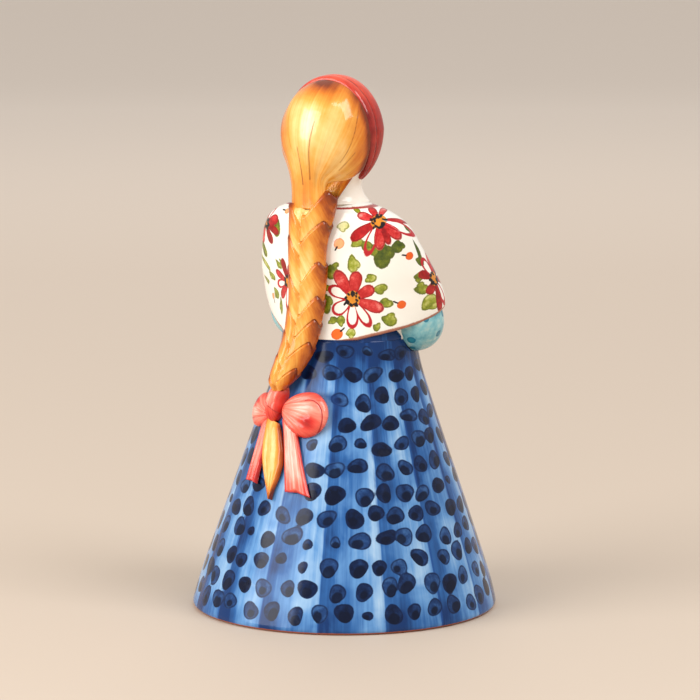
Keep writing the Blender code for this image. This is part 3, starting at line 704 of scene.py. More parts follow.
class Painter:
    """Brush strokes on a set of points, kept as signed distances for each kind of paint."""

    KINDS = ("petal", "open", "leaf", "berry", "eye", "ink")

    def __init__(self, points):
        self.points = points
        self.distance = {kind: np.full(points.shape[:-1], FAR) for kind in self.KINDS}
        self.tone = {kind: np.zeros(points.shape[:-1]) for kind in ("petal", "leaf", "berry")}

    def local(self, seat):
        """Which points are near a seat on the cloth, and their places across and up from it."""
        spot, right, up = seat
        apart = self.points - np.array(spot)
        near = np.linalg.norm(apart, axis=-1) < STROKE_REACH
        x = apart[near] @ np.array(right)
        y = apart[near] @ np.array(up)
        return near, x, y

    def lay(self, kind, near, distance, tone=None):
        old = self.distance[kind][near]
        if tone is not None:
            kept = self.tone[kind][near]
            self.tone[kind][near] = np.where(distance < old, tone, kept)
        self.distance[kind][near] = np.minimum(distance, old)

    def drop(self, kind, view, start, end, half, tone=None, blunt=0.55):
        """A brush drop from start to end, narrow where the brush was set down and round where it lifted."""
        near, x, y = view
        along = np.array(end) - np.array(start)
        length = max(float(np.hypot(*along)), 0.5)
        along = along / length
        s = ((x - start[0]) * along[0] + (y - start[1]) * along[1]) / length
        side = (y - start[1]) * along[0] - (x - start[0]) * along[1]
        wide = 0.55 + 0.45 * np.sin(np.pi * np.clip(s, 0, 1) ** (1 / blunt) * 0.5)
        u = (s - 0.5) * 2
        v = side / (half * wide)
        distance = (np.sqrt(u**2 + v**2) - 1) * half * np.minimum(1.0, wide + 0.3)
        shade = None
        if tone is not None:
            shade = tone + 0.22 * (np.clip(s, 0, 1) - 0.5) + 0.10 * np.clip(side / half, -1, 1)
        self.lay(kind, near, distance, shade)

    def stroke(self, kind, view, start, end, half):
        near, x, y = view
        a, b = np.array(start), np.array(end)
        along = b - a
        share = ((x - a[0]) * along[0] + (y - a[1]) * along[1]) / max(1e-9, float(along @ along))
        share = np.clip(share, 0, 1)
        distance = np.hypot(x - a[0] - share * along[0], y - a[1] - share * along[1]) - half
        self.lay(kind, near, distance)

    def round(self, kind, view, centre, half_x, half_y, tone=None, tilt=0.0):
        near, x, y = view
        c, s = math.cos(tilt), math.sin(tilt)
        dx, dy = x - centre[0], y - centre[1]
        u, v = (dx * c + dy * s) / half_x, (dy * c - dx * s) / half_y
        self.lay(kind, near, (np.hypot(u, v) - 1) * min(half_x, half_y), tone)

    def flower(self, seat, petals, eye=(1.45, 1.2), tone=0.5):
        """Petals are (tip x, tip y, half width, open), open ones being a drawn outline only."""
        view = self.local(seat)
        for x, y, half, is_open in petals:
            length = math.hypot(x, y)
            start = (x / length * 0.6, y / length * 0.6)
            half = half * (1.0 if is_open else 1.10)
            shade = tone + RNG.uniform(-0.42, 0.14)
            self.drop("open" if is_open else "petal", view, start, (x, y), half, None if is_open else shade)
        self.round("eye", view, (0, 0), *eye)
        for _ in range(24):
            turn, far = RNG.uniform(0, TAU), RNG.uniform(0.55, 1.1)
            x, y = eye[0] * far * math.cos(turn), eye[1] * far * math.sin(turn)
            end = (x + RNG.uniform(-0.45, 0.45), y + RNG.uniform(-0.45, 0.45))
            self.stroke("ink", view, (x, y), end, 0.25)

    def leaf(self, seat, start, end, half, tone):
        self.drop("leaf", self.local(seat), start, end, half, tone, blunt=0.8)

    def leaf_between(self, start, end, half, tone):
        """A leaf between two points of the cloth, with a smaller dab at its side."""
        middle = (start + end) / 2
        out = Vector((middle.x, middle.y - float(ring_centre(middle.z)), 0)).normalized()
        up = Vector((0, 0, 1))
        right = up.cross(out).normalized()
        view = self.local((middle, right, up))
        a, b = ((float((p - middle).dot(right)), (p - middle).z) for p in (start, end))
        self.drop("leaf", view, a, b, half, tone, blunt=0.8)
        side = RNG.choice((-1, 1)) * half * 0.55
        length = math.hypot(b[0] - a[0], b[1] - a[1]) or 1.0
        aside = (-(b[1] - a[1]) / length * side, (b[0] - a[0]) / length * side)
        share = RNG.uniform(0.05, 0.3)
        near = tuple(p + (q - p) * share + m for p, q, m in zip(a, b, aside))
        far = tuple(p + (q - p) * (share + 0.5) + 1.5 * m for p, q, m in zip(a, b, aside))
        self.drop("leaf", view, near, far, half * 0.68, tone + 0.1, blunt=0.8)

    def berry(self, seat, centre, size, stalk, tone):
        view = self.local(seat)
        self.round("berry", view, centre, size, size * 0.88, tone, 0.4)
        start, end = (tuple(c + s * far for c, s in zip(centre, stalk)) for far in (0.8, 1.6))
        self.stroke("ink", view, start, end, 0.2)

    def values(self):
        made = dict(self.distance)
        made.update({kind + "_tone": tone for kind, tone in self.tone.items()})
        return made


def round_flower(count, long, wide):
    """Petals all round, some of them open."""
    made = []
    for k in range(count):
        turn = TAU * (k + RNG.uniform(-0.2, 0.2)) / count
        far = long * RNG.uniform(0.8, 1.1)
        half = wide * RNG.uniform(0.8, 1.1)
        made.append((far * math.cos(turn), far * math.sin(turn), half, RNG.random() < 0.25))
    return made


def spray(painter, seat, size):
    """A flower with leaves and two berries round it."""
    painter.flower(seat, round_flower(9, size, size * 0.2))
    start = RNG.uniform(0, TAU)
    leaves = 7
    for k in range(leaves):
        turn = start + TAU * (k + RNG.uniform(-0.2, 0.2)) / leaves
        a, b = size * 1.02, size * RNG.uniform(1.35, 1.6)
        c, s = math.cos(turn), math.sin(turn)
        painter.leaf(seat, (a * c, a * s), (b * c - 0.6 * s, b * s + 0.6 * c), 0.85, RNG.random())
    for turn in (start + 0.5, start + 3.4):
        c, s = math.cos(turn), math.sin(turn)
        painter.berry(seat, (size * 1.5 * c, size * 1.5 * s), 0.85, (c, s), RNG.random())


# Leaves on the back: the turn from the back and the height where the brush was set down and where it was
# lifted, half the width of the stroke, and its tone from dark to pale.
LEAVES = (
    (-27, 93.2, -43, 94.0, 1.15, 0.95),
    (-40, 88.8, -52, 90.4, 1.15, 0.65),
    (-50, 88.0, -57, 90.0, 1.35, 0.40),
    (-60, 89.6, -59, 86.6, 1.30, 0.30),
    (-65, 90.2, -64, 83.6, 1.85, 0.08),
    (-75, 90.6, -72, 87.4, 1.40, 0.12),
    (-60, 97.6, -54, 96.8, 0.80, 0.50),
    (-86, 94.2, -88, 91.8, 0.45, 0.15),
    (-40, 87.0, -41, 82.4, 1.40, 0.62),
    (-17, 84.4, -18, 80.8, 1.40, 0.38),
    (-18, 84.0, -27, 84.6, 0.70, 0.50),
    (-53, 82.2, -59, 80.6, 1.25, 0.50),
    (-56, 78.3, -68, 79.3, 1.20, 0.52),
    (-13, 79.6, -13, 78.0, 1.15, 0.45),
    (-12, 77.4, -13, 72.6, 1.30, 0.38),
    (-60, 75.1, -72, 75.1, 1.15, 0.48),
    (-17, 71.9, -22, 70.6, 1.20, 0.42),
    (-22, 70.9, -31, 71.6, 1.25, 0.48),
    (-56, 70.0, -61, 68.9, 1.10, 0.52),
    (-63, 71.9, -74, 70.3, 1.55, 0.50),
    (-31, 67.9, -40, 68.7, 1.25, 0.72),
    (-87, 90.4, -89, 84.2, 0.60, 0.05),
    (-84, 85.8, -90, 84.6, 1.20, 0.22),
    (-82, 81.4, -88, 81.8, 1.20, 0.45),
    (-83, 78.6, -91, 78.2, 1.45, 0.45),
    (-89, 73.2, -95, 77.0, 2.00, 0.62),
    (60, 94.0, 57, 89.6, 1.25, 0.30),
    (75, 88.2, 73, 84.0, 1.15, 0.28),
    (60, 84.0, 52, 82.0, 0.75, 0.60),
    (55, 84.4, 47, 82.4, 0.60, 0.50),
    (73, 80.4, 64, 79.0, 0.95, 0.60),
    (69, 76.8, 60, 74.6, 1.25, 0.45),
    (56, 75.0, 53, 70.8, 0.95, 0.50),
)
# Berries on the back: turn, height, size, the way to the stalk, and tone from red to pale.
BERRIES = (
    (-28, 89.4, 1.40, (-0.7, -0.9), 1.0),
    (-80, 86.6, 1.05, (-1.1, 0.3), 0.15),
    (-77, 74.8, 1.15, (-1.2, 0.5), 0.20),
    (-23, 67.9, 1.45, (1.1, 0.9), 0.30),
    (56, 96.0, 0.80, (-1.0, -0.4), 0.9),
    (72, 74.6, 0.90, (0.4, -1.0), 0.8),
)
# Petals as tip x, tip y, half width, and whether only the outline is drawn.
SHOULDER_FLOWER = (
    (-7.6, 0.5, 1.45, False),
    (-6.0, -4.2, 1.35, True),
    (-3.2, -5.4, 1.45, False),
    (-0.6, -5.8, 1.05, False),
    (2.5, -6.0, 1.5, False),
    (5.9, -5.6, 1.5, True),
    (6.4, -2.6, 0.8, False),
    (-3.2, 4.4, 1.25, False),
    (0.6, 4.8, 1.1, False),
    (4.2, 3.6, 0.95, False),
)
BACK_FLOWER = (
    (-3.7, 6.9, 1.75, False),
    (1.4, 6.6, 1.75, False),
    (-5.3, 2.7, 1.55, True),
    (5.2, 2.5, 1.65, False),
    (-4.6, -3.0, 1.75, True),
    (7.2, -3.0, 1.7, False),
    (3.6, -6.4, 1.35, True),
    (-0.4, -6.6, 1.5, True),
)
ELBOW_FLOWER = (
    (-2.6, 5.2, 1.3, True),
    (-4.4, 2.4, 1.2, False),
    (-2.2, -3.2, 1.4, False),
    (1.6, -8.4, 1.25, False),
    (3.6, -6.6, 1.0, True),
    (3.8, 3.6, 1.4, False),
    (5.8, -1.2, 1.3, False),
    (0.9, 6.6, 1.3, False),
)
# Sprays on the sides and the front: turn, height and size.
SPRAYS = (
    (108, 86.0, 4.8),
    (-132, 91.0, 4.6),
    (138, 90.5, 4.4),
    (-138, 79.5, 4.8),
    (134, 79.0, 4.6),
    (104, 76.5, 4.2),
)


def paint_shawl(points):
    painter = Painter(points)
    painter.flower(torso_frame(-68, 95.0), SHOULDER_FLOWER, eye=(1.95, 1.6))
    painter.flower(torso_frame(-39, 76.3), BACK_FLOWER, eye=(1.7, 1.95))
    painter.flower(torso_frame(-96, 80.7), ELBOW_FLOWER, eye=(1.6, 1.7))
    painter.flower(torso_frame(72, 92.4), round_flower(8, 5.2, 1.35))
    painter.flower(torso_frame(42, 79.0), round_flower(9, 6.0, 1.25))
    for turn_a, z_a, turn_b, z_b, half, tone in LEAVES:
        painter.leaf_between(torso_point(turn_a, z_a), torso_point(turn_b, z_b), half, tone)
    for turn_deg, z, size, stalk, tone in BERRIES:
        painter.berry(torso_frame(turn_deg, z), (0, 0), size, stalk, tone)
    for turn_deg, z, size in SPRAYS:
        spray(painter, torso_frame(turn_deg, z), size)
    return painter.values()


def shawl_paint():
    paint = Paint("painted_shawl")
    patch = paint.cloud(0.8, 3, 0.6)
    fine = paint.cloud(2.6, 2, 0.6)
    colour = paint.blend(paint.cloud(0.12, 2), srgb(240, 236, 224), srgb(250, 248, 240))
    shade = paint.wander(paint.laid("leaf_tone"), patch, 0.55)
    green = paint.ramp(
        shade,
        (0.0, srgb(60, 78, 20)),
        (0.3, srgb(100, 112, 22)),
        (0.6, srgb(150, 158, 44)),
        (0.9, srgb(216, 214, 130)),
    )
    leaf = paint.wander(paint.laid("leaf"), fine, 0.14)
    green = paint.rimmed(green, srgb(74, 86, 14), 0.65, leaf, 0.18)
    colour = paint.cover(colour, green, leaf, 0.10, -0.08)
    shade = paint.wander(paint.laid("petal_tone"), patch, 0.5)
    red = paint.ramp(
        shade,
        (0.10, srgb(138, 10, 14)),
        (0.42, srgb(184, 24, 26)),
        (0.66, srgb(212, 60, 58)),
        (0.92, srgb(238, 146, 134)),
    )
    petal = paint.wander(paint.laid("petal"), fine, 0.12)
    red = paint.rimmed(red, srgb(140, 8, 14), 0.85, petal, 0.15)
    colour = paint.cover(colour, red, petal, 0.08, -0.08)
    outline = paint.wander(paint.sum("ABSOLUTE", paint.laid("open")), fine, 0.08)
    colour = paint.cover(colour, srgb(184, 22, 34), outline, 0.32, 0.18)
    orange = paint.ramp(
        paint.wander(paint.laid("berry_tone"), patch, 0.25),
        (0.0, srgb(226, 78, 14)),
        (0.5, srgb(240, 120, 40)),
        (1.0, srgb(250, 184, 128)),
    )
    berry = paint.wander(paint.laid("berry"), fine, 0.10)
    orange = paint.rimmed(orange, srgb(214, 84, 18), 0.5, berry, 0.12, start=0.2)
    colour = paint.cover(colour, orange, berry, 0.08, -0.08)
    eye = paint.wander(paint.laid("eye"), fine, 0.12)
    ochre = paint.blend(patch, srgb(196, 104, 16), srgb(232, 160, 50))
    colour = paint.cover(colour, ochre, eye, 0.10, -0.08)
    ink = paint.wander(paint.laid("ink"), fine, 0.10)
    colour = paint.cover(colour, srgb(22, 18, 22), ink, 0.08, -0.06)
    line = paint.wander(paint.sum("ABSOLUTE", paint.laid("line")), fine, 0.18)
    brown = paint.blend(patch, srgb(150, 84, 66), srgb(196, 136, 112))
    colour = paint.cover(colour, brown, line, 0.62, 0.30)
    neck = paint.wander(paint.sum("ABSOLUTE", paint.laid("neck")), fine, 0.10)
    colour = paint.cover(colour, srgb(168, 66, 62), neck, 0.30, 0.12)
    teal = paint.blend(patch, srgb(120, 190, 200), srgb(168, 214, 214))
    colour = paint.blend(paint.laid("blouse"), colour, teal)
    paint.colour(colour)
    return paint.glaze(wave=0.10)


LOW_ROWS, HIGH_ROWS = 10, 122  # rows of points under the shawl's hem, and over it


def torso_heights(hem):
    """Heights of the torso's rows of points, evenly spaced along the slope of the cloth above the hem."""
    fine = np.linspace(TORSO_LOW, TORSO_HIGH, 400)
    side = sample(TORSO, fine, np.full(fine.shape, math.pi / 2))
    steps = np.hypot(np.diff(fine), 0.6 * np.diff(side))
    length = np.concatenate([[0], np.cumsum(steps)])
    start = np.interp(hem, fine, length)
    foot = SKIRT_TOP - 0.4
    below = [foot + (hem + 0.6 - foot) * share for share in np.linspace(0, 1, LOW_ROWS)]
    above = []
    for share in np.linspace(0, 1, HIGH_ROWS):
        above.append(np.interp(start + (length[-1] - start) * share, length, fine))
    return np.array(below + above)


def make_torso(looks):
    columns = 512
    turn = full_turn(columns)
    hem = hem_height(turn)
    heights = torso_heights(hem)
    outer_rows = len(heights)
    turns = np.broadcast_to(turn[None, :], heights.shape)
    radius = sample(TORSO, heights, turns)
    # under the hem the skirt's cloth goes on up the waist
    low = heights[:LOW_ROWS]
    body = sample(WAIST, low, turns[:LOW_ROWS]) - 1.0
    back_y = -LEAN * SKIRT_TOP - ring_centre(TORSO_LOW)
    of_skirt = float(skirt_radius(SKIRT_TOP)) + back_y * np.cos(turns[:LOW_ROWS]) - 0.02
    radius[:LOW_ROWS] = of_skirt + (body - of_skirt) * ease(low, SKIRT_TOP + 0.2, 71.0)
    radius[LOW_ROWS:] -= 0.30 * np.exp(-(heights[LOW_ROWS:] - hem[None, :]) / 0.30)
    over = np.maximum(0.0, radius[LOW_ROWS - 1] + HEM_STEP - radius[LOW_ROWS])
    radius[LOW_ROWS:] += over[None, :] * np.exp(-(heights[LOW_ROWS:] - hem[None, :]) / 3.0)
    radius[LOW_ROWS:] -= 0.75 * ease(heights[LOW_ROWS:], 97.9, 99.0)
    inner_z = np.linspace(TORSO_HIGH, TORSO_LOW, 30)[:, None] * np.ones(columns)
    inner_r = sample(torso_table(-TORSO_WALL), inner_z, turn)
    z = np.vstack([heights, inner_z])
    r = np.vstack([radius, inner_r])
    turns = np.broadcast_to(turn[None, :], z.shape)
    points = xyz(r * np.sin(turns), ring_centre(z) + r * np.cos(turns), z)
    outside = (np.arange(len(z)) < outer_rows)[:, None]
    values = paint_shawl(points)
    above_hem = z - hem[None, :]
    x, y = points[..., 0], points[..., 1]
    front = (y < ring_centre(z)) & outside
    vee = np.abs(x) - VEE_SLOPE * (z - VEE_FOOT)
    open_front = front & (z > VEE_FOOT)
    near_vee = np.where(open_front, vee, FAR)
    line = np.minimum(np.abs(above_hem - 0.35), np.abs(near_vee - 0.4))
    share, near = gore_values(turns, r)
    values.update(
        line=np.where(outside, line, FAR),
        neck=np.where(outside, z - NECKLINE - 0.25 * np.sin(3 * turns), FAR),
        blouse=open_front & (vee < 0) & (z < NECKLINE),
        brush=brush_place(turns, z),
        gore=share,
        fold=near,
        dot=FAR,
        heart=FAR,
        tone=0,
        deepen=WAIST_DEEPEN,
        shadow=0,
        within=0,
        bare=FAR,
    )
    slots = [1] * LOW_ROWS + [0] * (len(z) - LOW_ROWS)
    mesh = grid_mesh("shawl_glazed", points, looks, values, looped=True, slots=slots)
    piece("shawl_glazed", mesh, "shawl_torso")


# ---------------------------------------------------------------- head

HEAD_CENTRE = Vector((0, 5.3, 114.3))
HEAD_HALF = Vector((10.4, 11.4, 12.3))
NECK_RADIUS, NECK_Y = 6.1, 3.6
NECK_LOW, NECK_HIGH = 98.4, 103.5
NECK_FLARE = 1.7
HAIR_HALF = Vector((12.1, 13.2, 13.7))
EYE_X, EYE_Z = 3.7, 115.0


def bump_at(a, b, wide_a, wide_b):
    """A soft round hill, 1 where a and b are 0."""
    return np.exp(-((a / wide_a) ** 2) - (b / wide_b) ** 2)


def face_values(x, z, in_front):
    """A small calm doll's face of plain proportions: signed distances to its painted features."""

    def both(middle, shape):
        return np.minimum(shape(x - middle), shape(x + middle))

    eye = both(EYE_X, lambda a: np.hypot(a / 1.25, (z - EYE_Z) / 0.72) - 1) * 0.8
    iris = both(EYE_X, lambda a: np.hypot(a, z - EYE_Z - 0.05)) - 0.58
    lid = both(EYE_X, lambda a: np.where(np.abs(a) < 1.4, np.abs(z - EYE_Z - 0.75 + 0.22 * a**2), FAR))
    brow = both(EYE_X + 0.1, lambda a: np.where(np.abs(a) < 1.7, np.abs(z - EYE_Z - 2.3 + 0.13 * a**2), FAR))
    lower_lip = np.hypot(x / 1.7, (z - 108.45) / 0.55) - 1
    upper_lip = both(0.6, lambda a: np.hypot(a, (z - 108.95) / 0.42) - 1)
    blush = bump_at(x - 4.9, z - 110.9, 1.9, 1.6) + bump_at(x + 4.9, z - 110.9, 1.9, 1.6)
    lips = np.minimum(lower_lip, upper_lip) * 0.5
    made = {"eye": eye, "iris": iris, "lid": lid, "brow": brow, "lips": lips}
    made = {key: np.where(in_front, value, FAR) for key, value in made.items()}
    made["blush"] = np.where(in_front, blush, 0.0)
    return made


def face_relief(x, z):
    """How far the nose, lips, chin and cheeks stand out, and the eyes lie in, in millimetres."""
    push = 1.9 * bump_at(x, z - 112.2, 1.15, 1.5) + 0.9 * bump_at(x, z - 114.6, 0.8, 2.2)
    push += 0.55 * bump_at(x, z - 108.7, 2.0, 0.8)
    push += 0.6 * bump_at(x, z - 105.6, 2.6, 1.6)
    for side in (-1, 1):
        push -= 0.45 * bump_at(x - side * EYE_X, z - EYE_Z - 0.2, 1.9, 1.2)
        push += 0.35 * bump_at(x - side * 4.6, z - 110.6, 2.4, 2.0)
    return push


def make_head(look):
    """Neck, head and the fringe over the forehead."""
    columns = 256
    top = HEAD_CENTRE.z + HEAD_HALF.z
    quarter = np.linspace(0, 1, 116) * math.pi / 2
    of_neck = np.linspace(NECK_LOW, NECK_HIGH, 22)[:-1]
    heights = np.concatenate([of_neck, NECK_HIGH + (top - NECK_HIGH) * np.sin(quarter)])
    heights[-1] = top - 0.002
    z, turns = np.broadcast_arrays(heights[:, None], full_turn(columns))
    up = np.sqrt(np.maximum(0.0, 1 - ((z - HEAD_CENTRE.z) / HEAD_HALF.z) ** 2))
    flare = NECK_FLARE * np.exp(-(z - 98.7) / NECK_FLARE)
    power = 6  # how sharply the neck turns into the head
    neck = (NECK_RADIUS + flare) ** power * (z < HEAD_CENTRE.z)
    half_x = ((HEAD_HALF.x * up) ** power + neck) ** (1 / power)
    half_y = ((HEAD_HALF.y * up) ** power + neck) ** (1 / power)
    centre_y = NECK_Y + (HEAD_CENTRE.y - NECK_Y) * np.clip((z - 99.3) / 9, 0, 1)
    x = half_x * np.sin(turns)
    y = centre_y + half_y * np.cos(turns)
    hairline = 118.8 - 0.052 * x**2 - 0.9 * np.exp(-np.abs(x) / 0.8)
    above = z - hairline
    hair = np.where(np.cos(turns) < 0.45, above, -FAR)
    strands = 0.10 * np.sin(2.6 * (np.abs(x) * 0.9 + 1.5 * np.abs(above)))
    push = face_relief(x, z) * ease(-np.cos(turns), 0.0, 0.5) + ease(hair, 0.0, 0.5) * (0.55 + strands)
    points = xyz(x + push * 0.25 * np.sin(turns), y + push * np.cos(turns), z)
    values = face_values(x, z, -np.cos(turns) > 0.2)
    values["hair"] = hair
    values["comb"] = xyz(0.3 * np.abs(x) + 0.55 * np.abs(above), 0.08 * above, 0.1 * z)
    piece("head_glazed", grid_mesh("head_glazed", points, [look], values), "head")


def skin_paint():
    paint = Paint("painted_skin")
    patch = paint.cloud(0.7, 3, 0.6)
    colour = paint.blend(patch, srgb(244, 232, 216), srgb(250, 242, 230))
    blush = paint.sum("MULTIPLY", paint.laid("blush"), 0.5)
    colour = paint.blend(blush, colour, srgb(236, 132, 110))
    colour = paint.cover(colour, srgb(196, 44, 48), paint.laid("lips"), 0.06, -0.06)
    colour = paint.cover(colour, srgb(250, 250, 248), paint.laid("eye"), 0.06, -0.04)
    iris = paint.sum("MAXIMUM", paint.laid("iris"), paint.laid("eye"))
    colour = paint.cover(colour, srgb(40, 62, 104), iris, 0.05, -0.05)
    pupil = paint.sum("ADD", paint.laid("iris"), 0.3)
    colour = paint.cover(colour, srgb(12, 12, 18), pupil, 0.05, -0.05)
    colour = paint.cover(colour, srgb(60, 34, 22), paint.laid("lid"), 0.2, 0.08)
    colour = paint.cover(colour, srgb(140, 84, 34), paint.laid("brow"), 0.26, 0.1)
    strand = paint.noise(paint.laid_vector("comb"), 3.2, 3, 0.6)
    dark, middle, pale = srgb(150, 78, 16), srgb(222, 150, 52), srgb(246, 206, 120)
    gold = paint.ramp(strand, (0.3, dark), (0.5, middle), (0.7, pale))
    edge = paint.laid("hair")
    gold = paint.cover(gold, srgb(150, 80, 18), edge, 0.5, 0.0)
    colour = paint.cover(colour, gold, edge, -0.08, 0.08)
    paint.colour(colour)
    return paint.glaze(wave=0.05)


# ---------------------------------------------------------------- hair and plait


def hair_paint():
    """Amber washes over cream, drawn down the strands, with thin brown lines between them. On the combed hair
    the laid amber also holds painted highlight and painted shade.
    """
    paint = Paint("painted_hair")
    strand = paint.laid_vector("strand")
    fine = paint.noise(strand, 4.2, 4, 0.62, 0.15)
    broad = paint.noise(strand, 1.25, 3, 0.5, 0.3)
    patch = paint.cloud(0.45, 3, 0.55)
    depth = paint.sum("MULTIPLY_ADD", broad, 0.34, paint.sum("MULTIPLY", fine, 0.26))
    depth = paint.sum("MULTIPLY_ADD", patch, 0.14, depth)
    depth = paint.sum("ADD", depth, paint.laid("amber"))
    colour = paint.ramp(
        depth,
        (0.18, srgb(255, 244, 200)),
        (0.38, srgb(248, 208, 132)),
        (0.55, srgb(234, 166, 70)),
        (0.72, srgb(214, 122, 34)),
        (0.88, srgb(170, 78, 18)),
        (1.0, srgb(118, 46, 12)),
    )
    line = paint.wander(paint.laid("seam"), patch, 0.12)
    line = paint.sum("MULTIPLY", paint.step(line, 0.32, 0.08), paint.step(broad, 0.28, 0.56))
    colour = paint.blend(line, colour, srgb(152, 80, 22))
    paint.colour(colour)
    return paint.glaze(height=fine, wave=0.06)


HAIR_POLE = Vector((0.4, 7.3, -10.3)).normalized()  # from the head's centre towards the plait's root
HAIR_EDGE_Y = 7.2  # the hair starts behind this Y, under the band
HAIRLINE = (8.3, 106.0, 0.66, 0.75)  # Y and Z of a point of the nape's hairline, and the way that it faces
HAIR_END = Vector((0.8, 13.0, 97.6))  # the middle of the hair's lower end, inside the plait
HAIR_END_HALF = (5.6, 3.1)
RIM, RIM_SPREAD = 0.11, 0.10  # the rounded rim: its depth as a share of the radius, and its width as an angle

# Brown lines in the hair: how far round from the back of the head to her left, how much they bend, and the
# angles from the plait's root between which they are drawn.
HAIR_LINES = (
    (-0.22, 0.05, 0.35, 1.30),
    (-0.62, 0.08, 0.55, 1.10),
    (-0.98, -0.10, 0.75, 2.00),
    (-1.30, 0.08, 0.62, 1.05),
    (-1.62, 0.06, 0.65, 1.35),
    (-1.95, -0.06, 0.65, 1.10),
    (0.12, 0.06, 0.30, 0.80),
    (0.45, -0.05, 0.80, 1.90),
    (0.78, 0.05, 0.50, 1.75),
    (0.98, 0.05, 0.70, 1.60),
    (1.20, 0.04, 0.60, 1.90),
)


def hair_grid():
    """The combed hair, an egg over the back of the head that runs down into the plait.

    Gives the points, their turns about the pole, their angles from it, and the rim's angle at each turn.
    """
    columns = 300
    centre = np.array(HEAD_CENTRE)
    axis = np.array(HAIR_POLE)
    side = np.array((1.0, 0, 0)) - axis * axis[0]
    side /= np.linalg.norm(side)
    back = np.cross(side, axis)
    turn = (np.arange(columns) / columns - 0.5) * TAU

    def egg(far, scale=1.0):
        """Points of the egg at an angle from the pole, for every turn about it."""
        ring = np.cos(turn)[:, None] * back + np.sin(turn)[:, None] * side
        ray = np.cos(far)[..., None] * axis + np.sin(far)[..., None] * ring
        reach = 1 / np.sqrt(((ray / np.array(HAIR_HALF)) ** 2).sum(-1))
        return centre + ray * (reach * scale)[..., None]

    trial = np.linspace(0.05, 2.7, 500)[:, None] * np.ones(columns)
    spots = egg(trial)
    line_y, line_z, face_y, face_z = HAIRLINE
    above = (spots[..., 1] - line_y) * face_y + (spots[..., 2] - line_z) * face_z
    covered = (spots[..., 1] > HAIR_EDGE_Y) & (above > 0)
    limit = trial[:, 0][np.argmin(covered, axis=0)]
    join = np.minimum(0.40 + 0.40 * ease(np.sin(turn), -0.7, 0.4), 0.75 * limit)

    rows = []
    fars = []
    tucked = 14
    for k in range(tucked):
        quarter = math.pi / 2 * (1 - k / tucked)
        scale = 1 - RIM * (1 - math.cos(quarter))
        rows.append(egg(limit - RIM_SPREAD * (1 - math.sin(quarter)), scale))
        fars.append(limit)
    combed = 130
    for k in range(combed):
        far = limit - RIM_SPREAD + (join - limit + RIM_SPREAD) * k / (combed - 1)
        rows.append(egg(far))
        fars.append(far)
    start = rows[-1]
    ahead = start - rows[-2]
    ahead /= np.linalg.norm(ahead, axis=-1)[:, None]
    half_x, half_y = HAIR_END_HALF
    narrow = 1 - 0.16 * ease(-np.sin(turn), 0.0, 0.9)
    end = xyz(HAIR_END.x + half_x * np.sin(turn) * narrow, HAIR_END.y + half_y * np.cos(turn), HAIR_END.z)
    handle = 0.42 * np.linalg.norm(end - start, axis=-1)[:, None]
    near_start = start + ahead * handle
    near_end = end + np.array((0.0, -0.05, 1.0)) * handle
    falling = 60
    for k in range(1, falling + 1):
        t = k / falling
        u = 1 - t
        rows.append(u**3 * start + 3 * u**2 * t * near_start + 3 * u * t**2 * near_end + t**3 * end)
        fars.append(join * u)
    points = np.array(rows)
    far = np.array(fars)
    turns = np.broadcast_to(turn, far.shape)
    locks = 0.06 * np.sin(15 * turns + 2.0 * np.sin(2 * far))
    locks = locks * ease(far, 0.05, 0.4) * ease(limit - far, 0.02, 0.25)
    apart = points - centre
    points = points + apart * (locks / np.linalg.norm(apart, axis=-1))[..., None]
    return points, turns, far, limit


def hair_values(points, turns, far, limit):
    """How amber the hair is, with its painted highlight and painted shade, and where its brown lines run."""
    aside = points @ np.array(RIGHT_OF_VIEW)
    z = points[..., 2]
    # darker near the left outline, and darker towards the right as seen from the camera: painted shade on the
    # side away from the window
    amber = 0.17 + 0.20 * ease(-aside, 11.5, 15.0) + 0.20 * ease(aside, -0.5, 5.0)
    # painted highlight: two paler patches, high on the left and lower in the middle as seen from the camera
    amber -= 0.24 * bump_at(aside + 8.4, z - 117.5, 3.2, 5.5)
    amber -= 0.08 * bump_at(aside + 2.0, z - 111.5, 3.2, 6.0)
    amber += 0.30 * ease(z, 121.0, 127.5) + 0.30 * bump_at(aside + 4.8, z - 127.5, 2.6, 1.6)
    # darker along the rim by the band on her right
    amber += 0.42 * ease(0.42 - (limit - far), 0.0, 0.40) * ease(-turns, 0.5, 1.2)
    amber += 0.12 * ease(-z, -109, -102) * ease(-aside, 5, 9)
    seam = np.full(far.shape, FAR)
    for line, bend, near_root, to_band in HAIR_LINES:
        away = np.abs(wrap(turns - line - bend * np.sin(2.1 * far))) * 12.5 * np.sin(far)
        beyond = np.maximum(0, np.maximum((near_root - far) * 12, (far - to_band) * 3))
        seam = np.minimum(seam, away + beyond + 0.08)
    strand = xyz(4.0 * np.cos(turns), 4.0 * np.sin(turns), 0.16 * far)
    return {"strand": strand, "amber": amber, "seam": seam}


def make_hair(look):
    points, turns, far, limit = hair_grid()
    mesh = grid_mesh("hair_combed", points, [look], hair_values(points, turns, far, limit), looped=True)
    piece("hair_combed", mesh, "hair_cap")


# The middle line of the plait: height along it, X, Y, half width and half thickness.
PLAIT = (
    (0.0, -0.6, 11.8, 104.4, 3.0, 1.2),
    (1.4, -0.3, 12.4, 103.2, 4.5, 2.4),
    (4.2, 0.3, 12.9, 100.5, 5.8, 3.5),
    (8.7, 0.5, 13.4, 96.0, 5.6, 3.7),
    (14.7, 1.2, 14.0, 90.0, 4.8, 3.5),
    (20.7, 1.1, 14.4, 84.0, 4.7, 3.4),
    (26.8, 0.9, 14.8, 78.0, 4.5, 3.3),
    (32.8, 1.4, 15.3, 72.0, 4.4, 3.1),
    (39.0, 2.3, 16.2, 66.0, 4.2, 3.0),
    (44.9, 4.1, 17.6, 60.5, 3.8, 2.8),
    (49.1, 5.8, 18.5, 56.8, 3.0, 2.3),
    (52.1, 6.9, 18.4, 54.2, 1.6, 1.2),
)
